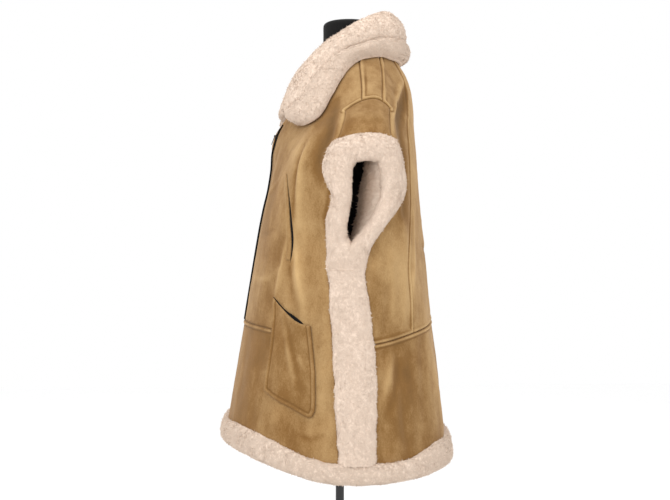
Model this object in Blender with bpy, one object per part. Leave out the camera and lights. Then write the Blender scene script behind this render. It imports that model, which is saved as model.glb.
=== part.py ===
"""Sheepskin coat with cap sleeves, worn by a limbless dress form on a pole.

The coat is one bell-shaped surface, point = bell(angle, level). Angle 0 is the centre front (-Y), 90 degrees the
wearer's left side (+X) and 180 the centre back. Level 0 is the neck seam and level 1 the lower edge of the suede.
The cloth is cut into panels along lines of one grid on that surface, so neighbours share their edges.
"""
import math

import bmesh
import bpy
import numpy as np

# ---- driving sizes, metres -------------------------------------------------------------------------------------
HIDE = 0.008            # hide with its wool
SEAM_GAP = 0.0003       # clear gap between neighbouring pieces
ZIP_HALF = 0.0045       # half of the zip that shows between the fronts
POCKET_LIFT = 0.004     # patch pocket's hide
POCKET_RIM = 0.0065     # its raised rim
SLIT_OPEN = 0.0017      # half width of the slit pocket's gap at its middle
WELT_LIFT = 0.0045      # height of the slit's welt
POLE_RADIUS = 0.0095
BASE_RADIUS = 0.175
BASE_HEIGHT = 0.012
FORM_BOTTOM = 0.800     # underside of the torso
NECK_RADIUS = 0.056
NECK_TOP = 1.500
NECK_CENTRE_Y = 0.020

# ---- the bell: one row for each ring of the coat ------------------------------------------------------------------
# level, then half width, y and height at the side, y and height at the centre front, the same at the centre back,
# squareness (2 is an ellipse), and how late the height turns from the middle's to the side's
RING_COLUMNS = ("level", "side_x", "side_y", "side_z", "front_y", "front_z", "back_y", "back_z", "square", "rise")
RINGS = (
    (0.00, 0.080, 0.058, 1.405, -0.110, 1.288, 0.117, 1.420, 2.0, 2.0),      # neck seam
    (0.08, 0.148, 0.052, 1.350, -0.140, 1.238, 0.148, 1.352, 1.8, 2.0),
    (0.16, 0.207, 0.047, 1.293, -0.151, 1.197, 0.163, 1.290, 1.85, 2.0),     # shoulder point
    (0.24, 0.262, 0.037, 1.240, -0.155, 1.157, 0.166, 1.226, 2.2, 2.0),
    (0.30, 0.289, 0.028, 1.192, -0.161, 1.118, 0.168, 1.166, 2.45, 2.0),     # top of the cuff
    (0.40, 0.293, 0.022, 1.092, -0.173, 1.066, 0.174, 1.086, 2.5, 2.2),
    (0.50, 0.287, 0.019, 1.000, -0.187, 0.994, 0.183, 0.998, 2.4, 2.6),
    (0.60, 0.291, 0.015, 0.900, -0.202, 0.910, 0.192, 0.910, 2.3, 3.0),
    (0.70, 0.301, 0.010, 0.788, -0.216, 0.824, 0.202, 0.826, 2.2, 3.4),      # horizontal seam
    (0.85, 0.317, 0.006, 0.672, -0.236, 0.706, 0.218, 0.698, 2.2, 3.4),
    (1.00, 0.330, 0.004, 0.556, -0.253, 0.596, 0.234, 0.562, 2.2, 3.4),      # lower edge of the suede
    (1.10, 0.337, 0.004, 0.515, -0.261, 0.566, 0.242, 0.528, 2.2, 3.4),      # middle of the hem's underside
)

# soft folds and hollows: angle and level of the deepest point, half widths in both, height (out is +), and lean in
# degrees for each unit of level
FOLD_COLUMNS = ("angle", "level", "wide", "long", "height", "lean")
FOLDS = (
    (133.0, 0.33, 13.0, 0.26, -0.014, 30.0),     # hollow behind the cap sleeve
    (60.0, 0.36, 9.0, 0.17, -0.008, 0.0),        # hollow in front of it
    (47.0, 0.33, 7.0, 0.22, 0.005, -25.0),       # ridge along the front
    (118.0, 0.82, 12.0, 0.20, -0.006, 12.0),
    (140.0, 0.80, 11.0, 0.24, 0.006, 10.0),
    (160.0, 0.88, 8.0, 0.22, -0.005, 0.0),
    (24.0, 0.86, 8.0, 0.22, 0.004, -10.0),
    (62.0, 0.84, 9.0, 0.22, -0.005, 0.0),
    (73.0, 0.66, 7.0, 0.14, 0.004, 0.0),
)

# ---- seams that run down the coat, in degrees ------------------------------------------------------------------------
SEAM_COLUMNS = ("level", "princess", "arm_front", "strap_front", "strap_back", "arm_back", "back_seam")
SEAMS = (
    (0.00, 30.0, 60.0, 82.0, 112.0, 130.0, 150.0),
    (0.10, 27.0, 66.0, 84.0, 104.5, 118.0, 149.0),
    (0.185, 26.0, 74.0, 84.0, 102.0, 111.0, 144.0),
    (0.24, 31.0, 73.0, 84.0, 102.0, 111.0, 140.0),
    (0.275, 35.0, 71.0, 83.0, 102.0, 113.0, 140.0),
    (0.30, 38.0, 66.5, 81.0, 103.0, 118.0, 139.5),
    (0.34, 40.5, 65.0, 80.0, 105.0, 123.0, 139.0),
    (0.39, 43.5, 67.5, 80.0, 105.0, 122.0, 138.0),
    (0.45, 47.0, 69.5, 80.0, 98.0, 108.0, 134.0),
    (0.51, 48.0, 70.5, 78.0, 88.0, 95.0, 130.0),
    (0.56, 45.0, 72.0, 79.0, 87.0, 92.5, 128.0),
    (0.62, 42.0, 74.5, 81.0, 89.0, 95.0, 128.5),
    (0.70, 42.0, 77.0, 84.0, 92.0, 99.0, 128.0),
    (0.85, 42.0, 80.0, 86.0, 94.0, 100.0, 128.0),
    (1.00, 40.0, 82.0, 87.0, 94.0, 99.0, 128.0),
    (1.10, 40.0, 82.0, 87.0, 94.0, 99.0, 128.0),
)

# cells of the grid between those lines, from the centre front to the centre back
SPANS = (("zip", 1), ("front", 5), ("side_front", 7), ("arm_front", 2), ("strap", 3), ("arm_back", 2),
         ("side_back", 5), ("back", 3))
# rows of the grid: level at the end of each stretch and the cells in it
STRETCHES = (("neck", 0.185, 5), ("sleeve", 0.283, 3), ("armhole", 0.56, 9), ("chest", 0.655, 3), ("waist", 0.70, 1),
             ("skirt", 1.00, 8), ("hem", 1.10, 4))

# the collar, from the centre front to the centre back: angle on the neck seam, the fold's top outside, and the place
# on the bell where the fall's lower edge rests
COLLAR_COLUMNS = ("angle", "top_x", "top_y", "top_z", "edge_angle", "edge_level")
COLLAR = (
    (4.0, 0.014, -0.128, 1.302, 40.0, 0.128),
    (20.0, 0.040, -0.120, 1.346, 53.0, 0.156),
    (45.0, 0.068, -0.088, 1.392, 65.0, 0.110),
    (80.0, 0.083, -0.020, 1.450, 80.0, 0.052),
    (112.0, 0.078, 0.048, 1.489, 106.0, 0.040),
    (146.0, 0.050, 0.096, 1.507, 142.0, 0.046),
    (180.0, 0.000, 0.119, 1.512, 180.0, 0.046),
)
COLLAR_WALL = 0.013
COLLAR_CELLS = 48           # from end to end
CREASE_AT = 0.58            # seam of the edge band, share of the way down the fall
FALL_CLEAR = 0.0055         # least room between the fall and the coat at that seam

# rim of the hole in the cuff: direction from the hole's middle in degrees, then angle and level on the bell
HOLE_MIDDLE = (90.0, 0.410)
HOLE_SPREAD = (25.0, 0.15)                  # degrees and levels that count alike in that direction
HOLE = (
    (24.0, 98.5, 0.433), (84.0, 91.0, 0.470), (117.0, 83.0, 0.493), (133.0, 80.5, 0.470), (159.0, 82.5, 0.427),
    (202.0, 83.0, 0.393), (237.0, 82.5, 0.340), (277.0, 91.5, 0.333), (311.0, 101.0, 0.334), (325.0, 103.5, 0.353),
    (339.0, 104.5, 0.377), (353.0, 103.5, 0.400),
)
# across the cuff's ring, from the armhole's edge over the top and back inside: share of the way to the hole, lift
CUFF_SECTION = ((0.0, 0.002), (0.12, 0.011), (0.40, 0.018), (0.75, 0.014), (0.97, 0.004), (1.0, -0.006),
                (0.90, -0.014), (0.50, -0.015), (0.12, -0.012), (0.0, -HIDE))

# dress form below the shoulders: height at the side, front and back, half width, y at the front and the back
TORSO = (
    (1.262, 1.170, 1.225, 0.180, -0.124, 0.136),
    (1.215, 1.140, 1.180, 0.166, -0.124, 0.132),
    (1.130, 1.090, 1.110, 0.150, -0.112, 0.118),
    (1.050, 1.030, 1.040, 0.132, -0.092, 0.102),
    (0.985, 0.985, 0.985, 0.128, -0.086, 0.100),
    (0.920, 0.920, 0.920, 0.142, -0.094, 0.112),
    (0.860, 0.860, 0.860, 0.158, -0.102, 0.124),
    (0.815, 0.815, 0.815, 0.162, -0.103, 0.124),
    (FORM_BOTTOM, FORM_BOTTOM, FORM_BOTTOM, 0.154, -0.096, 0.116),
)
# the form's shoulders follow the inside of the coat: level, depth under the hide
YOKE = ((0.0, 0.0100), (0.035, 0.0007), (0.07, 0.0007), (0.11, 0.0007), (0.15, 0.0007))
YOKE_EASE = 0.012                           # and fall away from it towards front and back

SUEDE = ("suede", (0.47, 0.29, 0.13), 0.92, 0.0)
WOOL = ("wool", (0.80, 0.66, 0.53), 0.95, 0.0)
FORM_CLOTH = ("form_cloth", (0.012, 0.012, 0.013), 0.6, 0.0)
BLACK_METAL = ("black_metal", (0.03, 0.03, 0.032), 0.35, 0.6)
ZIP_BLACK = ("zip_black", (0.01, 0.01, 0.011), 0.6, 0.0)


# ---- tables and the bell surface ----------------------------------------------------------------------------------
def read(table, columns, name, at):
    """Value of a named column at a place given in the first column, on a smooth curve through the rows."""
    rows = np.array(table, dtype=float)
    places = rows[:, 0]
    values = rows[:, columns.index(name)]
    at = np.clip(np.asarray(at, dtype=float), places[0], places[-1])
    slopes = np.gradient(values, places)
    row = np.clip(np.searchsorted(places, at, side="right") - 1, 0, len(places) - 2)
    width = places[row + 1] - places[row]
    f = (at - places[row]) / width
    return (values[row] * (1 + 2 * f) * (1 - f) ** 2 + slopes[row] * width * f * (1 - f) ** 2
            + values[row + 1] * f * f * (3 - 2 * f) + slopes[row + 1] * width * f * f * (f - 1))


def fold_height(angle, level):
    """Sum of the folds' soft humps at a place of the bell; the right side has the same ones."""
    total = np.zeros(np.broadcast(angle, level).shape)
    for fold in FOLDS:
        at_angle, at_level, wide, long, height, lean = fold
        across = (np.abs(angle) - at_angle - lean * (level - at_level)) / wide
        along = (level - at_level) / long
        total = total + height * np.exp(-across ** 2 - along ** 2)
    return total


def bell_point(angle, level):
    """Point of the bell: a rounded ring whose height also changes from front to side to back."""
    side_x = read(RINGS, RING_COLUMNS, "side_x", level)
    side_y = read(RINGS, RING_COLUMNS, "side_y", level)
    side_z = read(RINGS, RING_COLUMNS, "side_z", level)
    square = read(RINGS, RING_COLUMNS, "square", level)
    turn = np.radians(angle)
    sine, cosine = np.sin(turn), np.cos(turn)
    front = cosine > 0
    end_y = np.where(front, read(RINGS, RING_COLUMNS, "front_y", level), read(RINGS, RING_COLUMNS, "back_y", level))
    end_z = np.where(front, read(RINGS, RING_COLUMNS, "front_z", level), read(RINGS, RING_COLUMNS, "back_z", level))
    reach = (np.abs(cosine) ** square + np.abs(sine) ** square) ** (-1.0 / square)
    x = side_x * reach * sine
    y = side_y + (end_y - side_y) * reach * np.abs(cosine)
    z = end_z + (side_z - end_z) * np.abs(sine) ** read(RINGS, RING_COLUMNS, "rise", level)
    out = np.stack([x, y - side_y], axis=-1)
    out = out / np.linalg.norm(out, axis=-1, keepdims=True)
    height = fold_height(angle, level)
    return np.stack([x + out[..., 0] * height, y + out[..., 1] * height, z], axis=-1)


def bell(angle, level, lift=0.0):
    """Bell point moved out along the surface's normal by lift."""
    step_a, step_l = 0.5, 0.004
    along = bell_point(angle + step_a, level) - bell_point(angle - step_a, level)
    low = np.clip(np.asarray(level) - step_l, 0.0, 1.10)
    high = np.clip(np.asarray(level) + step_l, 0.0, 1.10)
    down = bell_point(angle, high) - bell_point(angle, low)
    normal = np.cross(down, along)
    normal = normal / np.linalg.norm(normal, axis=-1, keepdims=True)
    return bell_point(angle, level) + normal * np.asarray(lift)[..., None]


# ---- meshes ------------------------------------------------------------------------------------------------------------
MATERIALS = {}


def material(look):
    name, colour, roughness, metallic = look
    if name not in MATERIALS:
        made = bpy.data.materials.new(name)
        made.use_nodes = True
        made.diffuse_color = colour + (1.0,)
        shader = made.node_tree.nodes["Principled BSDF"]
        shader.inputs["Base Color"].default_value = colour + (1.0,)
        shader.inputs["Roughness"].default_value = roughness
        shader.inputs["Metallic"].default_value = metallic
        MATERIALS[name] = made
    return MATERIALS[name]


def solid(name, points, faces, look):
    """Object of one closed mesh, its faces turned outwards."""
    work = bmesh.new()
    corners = [work.verts.new(point) for point in points]
    for face in faces:
        work.faces.new([corners[k] for k in face])
    bmesh.ops.recalc_face_normals(work, faces=work.faces)
    if work.calc_volume(signed=True) < 0:
        bmesh.ops.reverse_faces(work, faces=work.faces)
    mesh = bpy.data.meshes.new(name)
    work.to_mesh(mesh)
    work.free()
    mesh.shade_smooth()
    mesh.set_sharp_from_angle(angle=math.radians(40))
    mesh.materials.append(material(look))
    made = bpy.data.objects.new(name, mesh)
    bpy.context.scene.collection.objects.link(made)
    return made


# ---- the grid of the coat ---------------------------------------------------------------------------------------------
def grid_lines():
    """Column and row numbers at which each span and stretch starts, with the last one's end."""
    columns, rows = {}, {}
    count = 0
    for name, cells in SPANS:
        columns[name] = count
        count += cells
    columns["end"] = count
    count = 0
    for name, _, cells in STRETCHES:
        rows[name] = count
        count += cells
    rows["end"] = count
    return columns, rows


COLUMN, ROW = grid_lines()


def grid_levels():
    levels = [0.0]
    for _, end, cells in STRETCHES:
        start = levels[-1]
        levels += [start + (end - start) * k / cells for k in range(1, cells + 1)]
    return np.array(levels)


def sleeve_arch(angle, level, front, back):
    """The sleeve's head and its cuff edge bow: level is lowered towards the middle between the arm seams."""
    across = np.clip((angle - (front + back) / 2) / ((back - front) / 2), -1.0, 1.0)
    head = 0.0315 * np.exp(-((level - 0.185) / 0.05) ** 2)
    edge = 0.008 * np.exp(-((level - 0.283) / 0.03) ** 2)
    return -(1 - across ** 2) * (head + edge)


def pocket_slant(angle, level):
    """The patch pocket's mouth and bottom slope down towards the back: so do the rows under them."""
    tilt = (angle - 56.0) / 14.0 * np.exp(-((angle - 56.0) / 16.0) ** 2)
    mouth = np.exp(-((level - 0.655) / 0.03) ** 2)
    bottom = np.exp(-((level - 0.8875) / 0.06) ** 2)
    return tilt * (0.028 * mouth + 0.040 * bottom)


def coat_grid():
    """Angle and level at each corner of the grid, [column, row]."""
    levels = grid_levels()
    lines = [np.degrees(ZIP_HALF / (-read(RINGS, RING_COLUMNS, "front_y", levels) + 0.02))]
    lines += [read(SEAMS, SEAM_COLUMNS, name, levels) for name in SEAM_COLUMNS[1:]]
    lines = [np.zeros_like(levels)] + lines + [np.full_like(levels, 180.0)]
    angles = [lines[0]]
    for (_, cells), start, end in zip(SPANS, lines[:-1], lines[1:]):
        angles += [start + (end - start) * k / cells for k in range(1, cells + 1)]
    angles = np.array(angles)
    level = np.broadcast_to(levels, angles.shape).copy()
    front = read(SEAMS, SEAM_COLUMNS, "arm_front", levels)
    back = read(SEAMS, SEAM_COLUMNS, "arm_back", levels)
    level += sleeve_arch(angles, level, front, back) + pocket_slant(angles, level)
    return angles, level


ANGLES, LEVELS = coat_grid()


def cells_between(first, last, top, bottom):
    """Cells of the grid as (column, row), from line to line."""
    return {(i, j) for i in range(COLUMN[first], COLUMN[last]) for j in range(ROW[top], ROW[bottom])}


def panel(name, side, cells, look, outer=0.0, inner=-HIDE, open_edge=None):
    """Closed wall over a set of cells: outer and inner skins, and a rim pulled back from the neighbours.

    outer and inner are lifts, numbers or functions of column and row. open_edge gives more room at a rim's corner.
    """
    corners = sorted({(i + a, j + b) for i, j in cells for a in (0, 1) for b in (0, 1)})
    number = {corner: k for k, corner in enumerate(corners)}
    i, j = np.array(corners).T
    angle, level = ANGLES[i, j] * side, LEVELS[i, j]
    lift_out = outer(i, j) if callable(outer) else np.full(len(i), outer)
    lift_in = inner(i, j) if callable(inner) else np.full(len(i), inner)
    skins = [bell(angle, level, lift_out), bell(angle, level, lift_in)]
    edges = {}
    for a, b in cells:
        ring = [(a, b), (a + 1, b), (a + 1, b + 1), (a, b + 1)]
        for k in range(4):
            pair = (ring[k], ring[(k + 1) % 4])
            if (pair[1], pair[0]) in edges:
                del edges[(pair[1], pair[0])]
            else:
                edges[pair] = (a, b)
    middle = {cell: np.mean([skins[0][number[(cell[0] + a, cell[1] + b)]] for a in (0, 1) for b in (0, 1)], axis=0)
              for cell in set(edges.values())}
    pull = np.zeros((len(corners), 3))
    for (start, end), cell in edges.items():
        p, q = skins[0][number[start]], skins[0][number[end]]
        along = (q - p) / np.linalg.norm(q - p)
        inward = middle[cell] - (p + q) / 2
        inward = inward - along * inward.dot(along)
        inward = inward / np.linalg.norm(inward)
        for corner in (start, end):
            pull[number[corner]] += inward
    moved = np.linalg.norm(pull, axis=1) > 1e-6
    size = np.linalg.norm(pull[moved], axis=1, keepdims=True)
    room = SEAM_GAP / 2 * np.ones(len(corners))
    if open_edge is not None:
        room = room + open_edge(i, j)
    unit = pull[moved] / size
    pull[:] = 0.0
    pull[moved] = unit * np.where(size > 1.6, 1.0, 1.3) * room[moved][:, None]
    skins = [skin + pull for skin in skins]
    count = len(corners)
    faces = []
    for a, b in sorted(cells):
        ring = [number[c] for c in ((a, b), (a + 1, b), (a + 1, b + 1), (a, b + 1))]
        faces += [(ring[0], ring[1], ring[2]), (ring[0], ring[2], ring[3])]
        faces += [tuple(count + k for k in (ring[2], ring[1], ring[0])),
                  tuple(count + k for k in (ring[3], ring[2], ring[0]))]
    for start, end in sorted(edges):
        p, q = number[start], number[end]
        low, high = min(p, q), max(p, q)
        faces += [(low, high, count + high), (low, count + high, count + low)]
    return solid(name, np.concatenate(skins), faces, look)


SIDES = ((1, "L"), (-1, "R"))


def slit_room(i, j):
    """Extra room along the princess seam where the slit pocket opens."""
    level = LEVELS[i, j]
    along = np.clip((level - 0.29) / (0.50 - 0.29), 0.0, 1.0)
    return np.where(i == COLUMN["side_front"], SLIT_OPEN * np.sin(math.pi * along), 0.0)


def build_coat():
    for side, tag in SIDES:
        panel("front_centre_upper_" + tag, side, cells_between("front", "side_front", "neck", "skirt"), SUEDE,
              open_edge=slit_room)
        panel("front_centre_lower_" + tag, side, cells_between("zip", "side_front", "skirt", "hem"), SUEDE)
        side_front = cells_between("side_front", "arm_front", "neck", "hem")
        side_front |= cells_between("arm_front", "strap", "neck", "sleeve")
        panel("side_front_" + tag, side, side_front, SUEDE, open_edge=slit_room)
        panel("shoulder_strap_" + tag, side, cells_between("strap", "arm_back", "neck", "sleeve"), SUEDE)
        panel("cap_sleeve_" + tag, side, cells_between("arm_front", "side_back", "sleeve", "armhole"), SUEDE)
        side_back = cells_between("side_back", "back", "neck", "skirt")
        side_back |= cells_between("arm_back", "side_back", "neck", "sleeve")
        panel("back_side_" + tag, side, side_back, SUEDE)
        panel("back_centre_" + tag, side, cells_between("back", "end", "neck", "skirt"), SUEDE)
        panel("back_lower_" + tag, side, cells_between("side_back", "end", "skirt", "hem"), SUEDE)


# ---- wool pieces ---------------------------------------------------------------------------------------------------------
def band_lift(i, j):
    """Rounded outside of the side band: highest along its middle."""
    first, last = COLUMN["arm_front"], COLUMN["side_back"]
    across = (i - first) / (last - first) * 2 - 1
    return 0.003 + 0.009 * np.sqrt(np.clip(1 - across ** 2, 0, 1))


def hem_share(j):
    return (j - ROW["hem"]) / (ROW["end"] - ROW["hem"])


def hem_out(i, j):
    """Outside of the hem's roll: out from the suede's edge, full in the middle, drawn in underneath."""
    return 0.003 + 0.015 * np.sin(math.pi * (0.12 + 0.80 * hem_share(j))) ** 0.7


def hem_in(i, j):
    return -HIDE - 0.008 * np.sin(math.pi * (0.05 + 0.80 * hem_share(j))) ** 0.7


def cuff(side, tag):
    """Ring of wool round the armhole: from the armhole's edge on the grid in to the hole, over and back inside."""
    left, right, top, bottom = COLUMN["arm_front"], COLUMN["side_back"], ROW["armhole"], ROW["chest"]
    loop = [(i, top) for i in range(left, right)] + [(right, j) for j in range(top, bottom)]
    loop += [(i, bottom) for i in range(right, left, -1)] + [(left, j) for j in range(bottom, top, -1)]
    i, j = np.array(loop).T
    angle, level = ANGLES[i, j], LEVELS[i, j]
    turn = np.degrees(np.arctan2((level - HOLE_MIDDLE[1]) / HOLE_SPREAD[1], (angle - HOLE_MIDDLE[0]) / HOLE_SPREAD[0]))
    places, rim_angles, rim_levels = np.array(HOLE).T
    rim_angle = np.interp(turn, places, rim_angles, period=360.0)
    rim_level = np.interp(turn, places, rim_levels, period=360.0)
    count = len(loop)
    points = []
    for share, lift in CUFF_SECTION:
        ring = bell((angle + (rim_angle - angle) * share) * side, level + (rim_level - level) * share, lift)
        points.append(ring)
    middle = bell(np.array([HOLE_MIDDLE[0] * side]), np.array([HOLE_MIDDLE[1]]))[0]
    for k in (0, len(points) - 1):
        toward = middle - points[k]
        toward = toward / np.linalg.norm(toward, axis=1, keepdims=True)
        points[k] = points[k] + toward * SEAM_GAP * 0.75
    faces = []
    rings = len(points)
    for r in range(rings):
        for k in range(count):
            a, b = r * count + k, r * count + (k + 1) % count
            c, d = ((r + 1) % rings) * count + (k + 1) % count, ((r + 1) % rings) * count + k
            if r == rings - 1:
                # the wall against the panels: the same diagonals as the panels' own rims
                here, there = loop[k], loop[(k + 1) % count]
                if here < there:
                    faces += [(d, c, b), (d, b, a)]
                else:
                    faces += [(c, d, a), (c, a, b)]
            else:
                faces += [(a, b, c), (a, c, d)]
    return solid("cuff_fur_" + tag, np.concatenate(points), faces, WOOL)


def build_wool():
    for side, tag in SIDES:
        cuff(side, tag)
        panel("side_band_" + tag, side, cells_between("arm_front", "side_back", "chest", "hem"), WOOL,
              outer=band_lift, inner=-0.010)
        panel("hem_fur_front_" + tag, side, cells_between("zip", "arm_front", "hem", "end"), WOOL,
              outer=hem_out, inner=hem_in)
        panel("hem_fur_side_" + tag, side, cells_between("arm_front", "side_back", "hem", "end"), WOOL,
              outer=hem_out, inner=hem_in)
        panel("hem_fur_back_" + tag, side, cells_between("side_back", "end", "hem", "end"), WOOL,
              outer=hem_out, inner=hem_in)


# ---- pockets ------------------------------------------------------------------------------------------------------------
POCKET_COLUMNS = 5      # cells of the side front that the patch pocket covers, from the princess seam
POCKET_ROWS = 5         # cells of the skirt that it covers, under the one above the horizontal seam


def pocket_lift(i, j):
    """Outside of the patch pocket: flat with a raised rim down its back edge and along its bottom."""
    rim = (i >= COLUMN["side_front"] + POCKET_COLUMNS) | (j >= ROW["skirt"] + POCKET_ROWS)
    return np.where(rim, POCKET_RIM, POCKET_LIFT)


def build_pockets():
    start, top = COLUMN["side_front"], ROW["waist"]
    for side, tag in SIDES:
        cells = {(i, j) for i in range(start, start + POCKET_COLUMNS) for j in range(top, ROW["skirt"] + POCKET_ROWS)}
        panel("patch_pocket_" + tag, side, cells, SUEDE, outer=pocket_lift, inner=SEAM_GAP * 2)
        welt(side, tag)


def welt(side, tag):
    """Strip that stands along the front edge of the slit, on the front panel's own points."""
    column = COLUMN["side_front"]
    rows = [j for j in range(len(LEVELS[0])) if 0.30 < LEVELS[column, j] < 0.50]
    level = LEVELS[column, rows]
    step = (ANGLES[column, rows] - ANGLES[column - 1, rows])
    back = ANGLES[column, rows] - 0.10 * step
    front = ANGLES[column, rows] - 0.48 * step
    section = ((front, SEAM_GAP * 3), (front, WELT_LIFT * 0.7), ((front + back) / 2, WELT_LIFT), (back, WELT_LIFT),
               (back, SEAM_GAP * 3))
    points = [bell(angle * side, level, np.full(len(level), lift)) for angle, lift in section]
    loft("slit_welt_" + tag, np.array(points).transpose(1, 0, 2), SUEDE)


def loft(name, rings, look):
    """Solid through rings of equal length, [ring, point], with capped ends."""
    count, size = len(rings), len(rings[0])
    faces = [tuple(range(size)), tuple((count - 1) * size + k for k in reversed(range(size)))]
    for r in range(count - 1):
        here, there = r * size, (r + 1) * size
        for k in range(size):
            n = (k + 1) % size
            faces += [(here + k, here + n, there + n), (here + k, there + n, there + k)]
    return solid(name, np.concatenate(rings), faces, look)


# ---- collar -----------------------------------------------------------------------------------------------------------------
def collar_sections():
    """Points across the collar for each place round the neck, from the stand's foot over the fold to the edge.

    Named places: foot inside and outside, shoulder of the fold, crown, top, crease, edge and the cavity's roof.
    """
    angles = np.linspace(COLLAR[0][0], 360.0 - COLLAR[0][0], COLLAR_CELLS + 1)
    half = np.where(angles <= 180.0, angles, 360.0 - angles)
    side = np.where(angles <= 180.0, 1.0, -1.0)
    flip = np.stack([side, np.ones_like(side), np.ones_like(side)], axis=1)
    up = np.array([0.0, 0.0, 1.0])
    top = np.stack([read(COLLAR, COLLAR_COLUMNS, name, half) for name in ("top_x", "top_y", "top_z")], axis=1)
    edge_angle = read(COLLAR, COLLAR_COLUMNS, "edge_angle", half)
    edge_level = read(COLLAR, COLLAR_COLUMNS, "edge_level", half)
    foot_in = bell(half, np.zeros_like(half), np.full(len(half), -0.011)) + up * 0.001
    foot_out = bell(half, np.zeros_like(half), np.full(len(half), 0.002)) + up * 0.001
    edge_in = bell(edge_angle, edge_level, np.full(len(half), 0.0014))
    edge_out = bell(edge_angle, edge_level, np.full(len(half), COLLAR_WALL + 0.002))
    out = top - np.array([0.0, NECK_CENTRE_Y, 0.0])
    out[:, 2] = 0.0
    out = out / np.linalg.norm(out, axis=1, keepdims=True)
    fall = edge_out - top
    fall = fall / np.linalg.norm(fall, axis=1, keepdims=True)
    face = out - fall * (out * fall).sum(axis=1, keepdims=True)
    face = face / np.linalg.norm(face, axis=1, keepdims=True)
    shoulder = top - out * 0.021 - up * 0.006
    crown = top - out * 0.010 + up * 0.003
    roof = top - out * 0.0105 - up * 0.014
    crease = top + (edge_out - top) * CREASE_AT + face * 0.004
    roof_crease = roof + (edge_in - roof) * CREASE_AT
    over_angle, over_level = half + (edge_angle - half) * CREASE_AT, edge_level * CREASE_AT
    coat = bell(over_angle, over_level, np.zeros_like(half))
    normal = (bell(over_angle, over_level, np.ones_like(half)) - coat)
    short = np.clip(FALL_CLEAR - ((roof_crease - coat) * normal).sum(axis=1, keepdims=True), 0.0, None)
    roof_crease = roof_crease + normal * short
    crease = crease + normal * short
    places = {
        "foot_in": foot_in, "stand_in": (foot_in + shoulder) / 2, "shoulder": shoulder, "crown": crown, "top": top,
        "swell": top + (crease - top) * 0.45 + face * 0.010, "crease": crease,
        "edge_swell": crease + (edge_out - crease) * 0.5 + face * 0.006, "edge_out": edge_out, "edge_in": edge_in,
        "roof_crease": roof_crease, "roof": roof, "foot_out": foot_out, "fall": fall,
    }
    return {name: value * flip for name, value in places.items()}


def build_collar():
    place = collar_sections()
    back = place["fall"] * SEAM_GAP
    body = [place[n] for n in ("foot_in", "stand_in", "shoulder", "crown", "top", "swell")]
    body += [place["crease"] - back, place["roof_crease"] - back, place["roof"], place["foot_out"]]
    loft("collar", np.array(body).transpose(1, 0, 2), WOOL)
    edge = [place[n] for n in ("edge_in", "edge_out", "edge_swell", "crease", "roof_crease")]
    loft("collar_edge", np.array(edge).transpose(1, 0, 2), WOOL)


# ---- zip ------------------------------------------------------------------------------------------------------------------------
SLIDER_ROW = 2          # row of the grid under which the slider lies
SLIDER_START = 0.004    # its upper end below that row
SLIDER_HIGH = 0.0022
PIN_ALONG = 0.0045      # the tab's pin below the slider's upper end
SLIDER_LONG = 0.011
SLIDER_HALF = 0.0044
TAB_LONG = 0.021
TAB_HALF = 0.0028
TAB_THICK = 0.0014
PIN_RADIUS = 0.0012
EAR_HALF = 0.0009


def build_zip():
    """Strip between the fronts with a low ridge of teeth, its slider near the top, and the pull tab that hangs on it."""
    rows = np.arange(1, ROW["skirt"] + 1)
    level = LEVELS[0, rows]
    wide = ANGLES[1, rows] * 0.94
    middle = np.zeros_like(wide)
    section = ((-wide, -0.0012), (-wide * 0.5, 0.0), (-wide * 0.35, 0.0014), (wide * 0.35, 0.0014), (wide * 0.5, 0.0),
               (wide, -0.0012), (wide, -0.0042), (middle, -0.0034), (-wide, -0.0042))
    points = [bell(angle, level, np.full(len(level), lift)) for angle, lift in section]
    loft("zip_strip", np.array(points).transpose(1, 0, 2), ZIP_BLACK)

    # the slider lies on the flat of the teeth between two rows
    first = bell(np.zeros(2), LEVELS[0, SLIDER_ROW:SLIDER_ROW + 2], np.full(2, 0.0014))
    down = (first[1] - first[0]) / np.linalg.norm(first[1] - first[0])
    right = np.array([1.0, 0.0, 0.0])
    out = np.cross(down, right)
    top = first[0] + down * SLIDER_START + out * SEAM_GAP

    def at(across, along, away):
        return top + right * across + down * along + out * away

    body = [[at(-w, a, 0.0), at(w, a, 0.0), at(w * 0.95, a, h), at(-w * 0.95, a, h)]
            for w, a, h in ((SLIDER_HALF * 0.8, 0.0, SLIDER_HIGH * 0.7), (SLIDER_HALF, 0.002, SLIDER_HIGH),
                            (SLIDER_HALF, SLIDER_LONG - 0.003, SLIDER_HIGH),
                            (SLIDER_HALF * 0.7, SLIDER_LONG, SLIDER_HIGH * 0.7))]
    loft("zip_slider", np.array(body), BLACK_METAL)
    pin_away = SLIDER_HIGH + SEAM_GAP + PIN_RADIUS
    for side, tag in SIDES:
        inner = side * (TAB_HALF + SEAM_GAP)
        outer = side * (TAB_HALF + SEAM_GAP + EAR_HALF)
        low, high = SLIDER_HIGH + SEAM_GAP, pin_away + PIN_RADIUS + 0.0006
        ear = [[at(x, PIN_ALONG - 0.0018, low), at(x, PIN_ALONG + 0.0018, low),
                at(x, PIN_ALONG + 0.0012, high), at(x, PIN_ALONG - 0.0012, high)] for x in (inner, outer)]
        loft("zip_ear_" + tag, np.array(ear), BLACK_METAL)
    pin = at(0.0, PIN_ALONG, pin_away)
    turns = np.radians(np.linspace(36.0, 324.0, 10))
    outline = [(PIN_RADIUS * math.cos(t), PIN_RADIUS * math.sin(t)) for t in turns]
    outline += [(TAB_LONG, -TAB_THICK / 2), (TAB_LONG, TAB_THICK / 2)]
    tab = [[at(x, PIN_ALONG + a, pin_away + h) - pin for a, h in outline] for x in (-TAB_HALF, TAB_HALF)]
    loft("zip_tab", np.array(tab), BLACK_METAL).location = pin


# ---- dress form ---------------------------------------------------------------------------------------------------------------
RING_POINTS = 40


def ring_angles():
    return np.arange(RING_POINTS) * 360.0 / RING_POINTS


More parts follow.
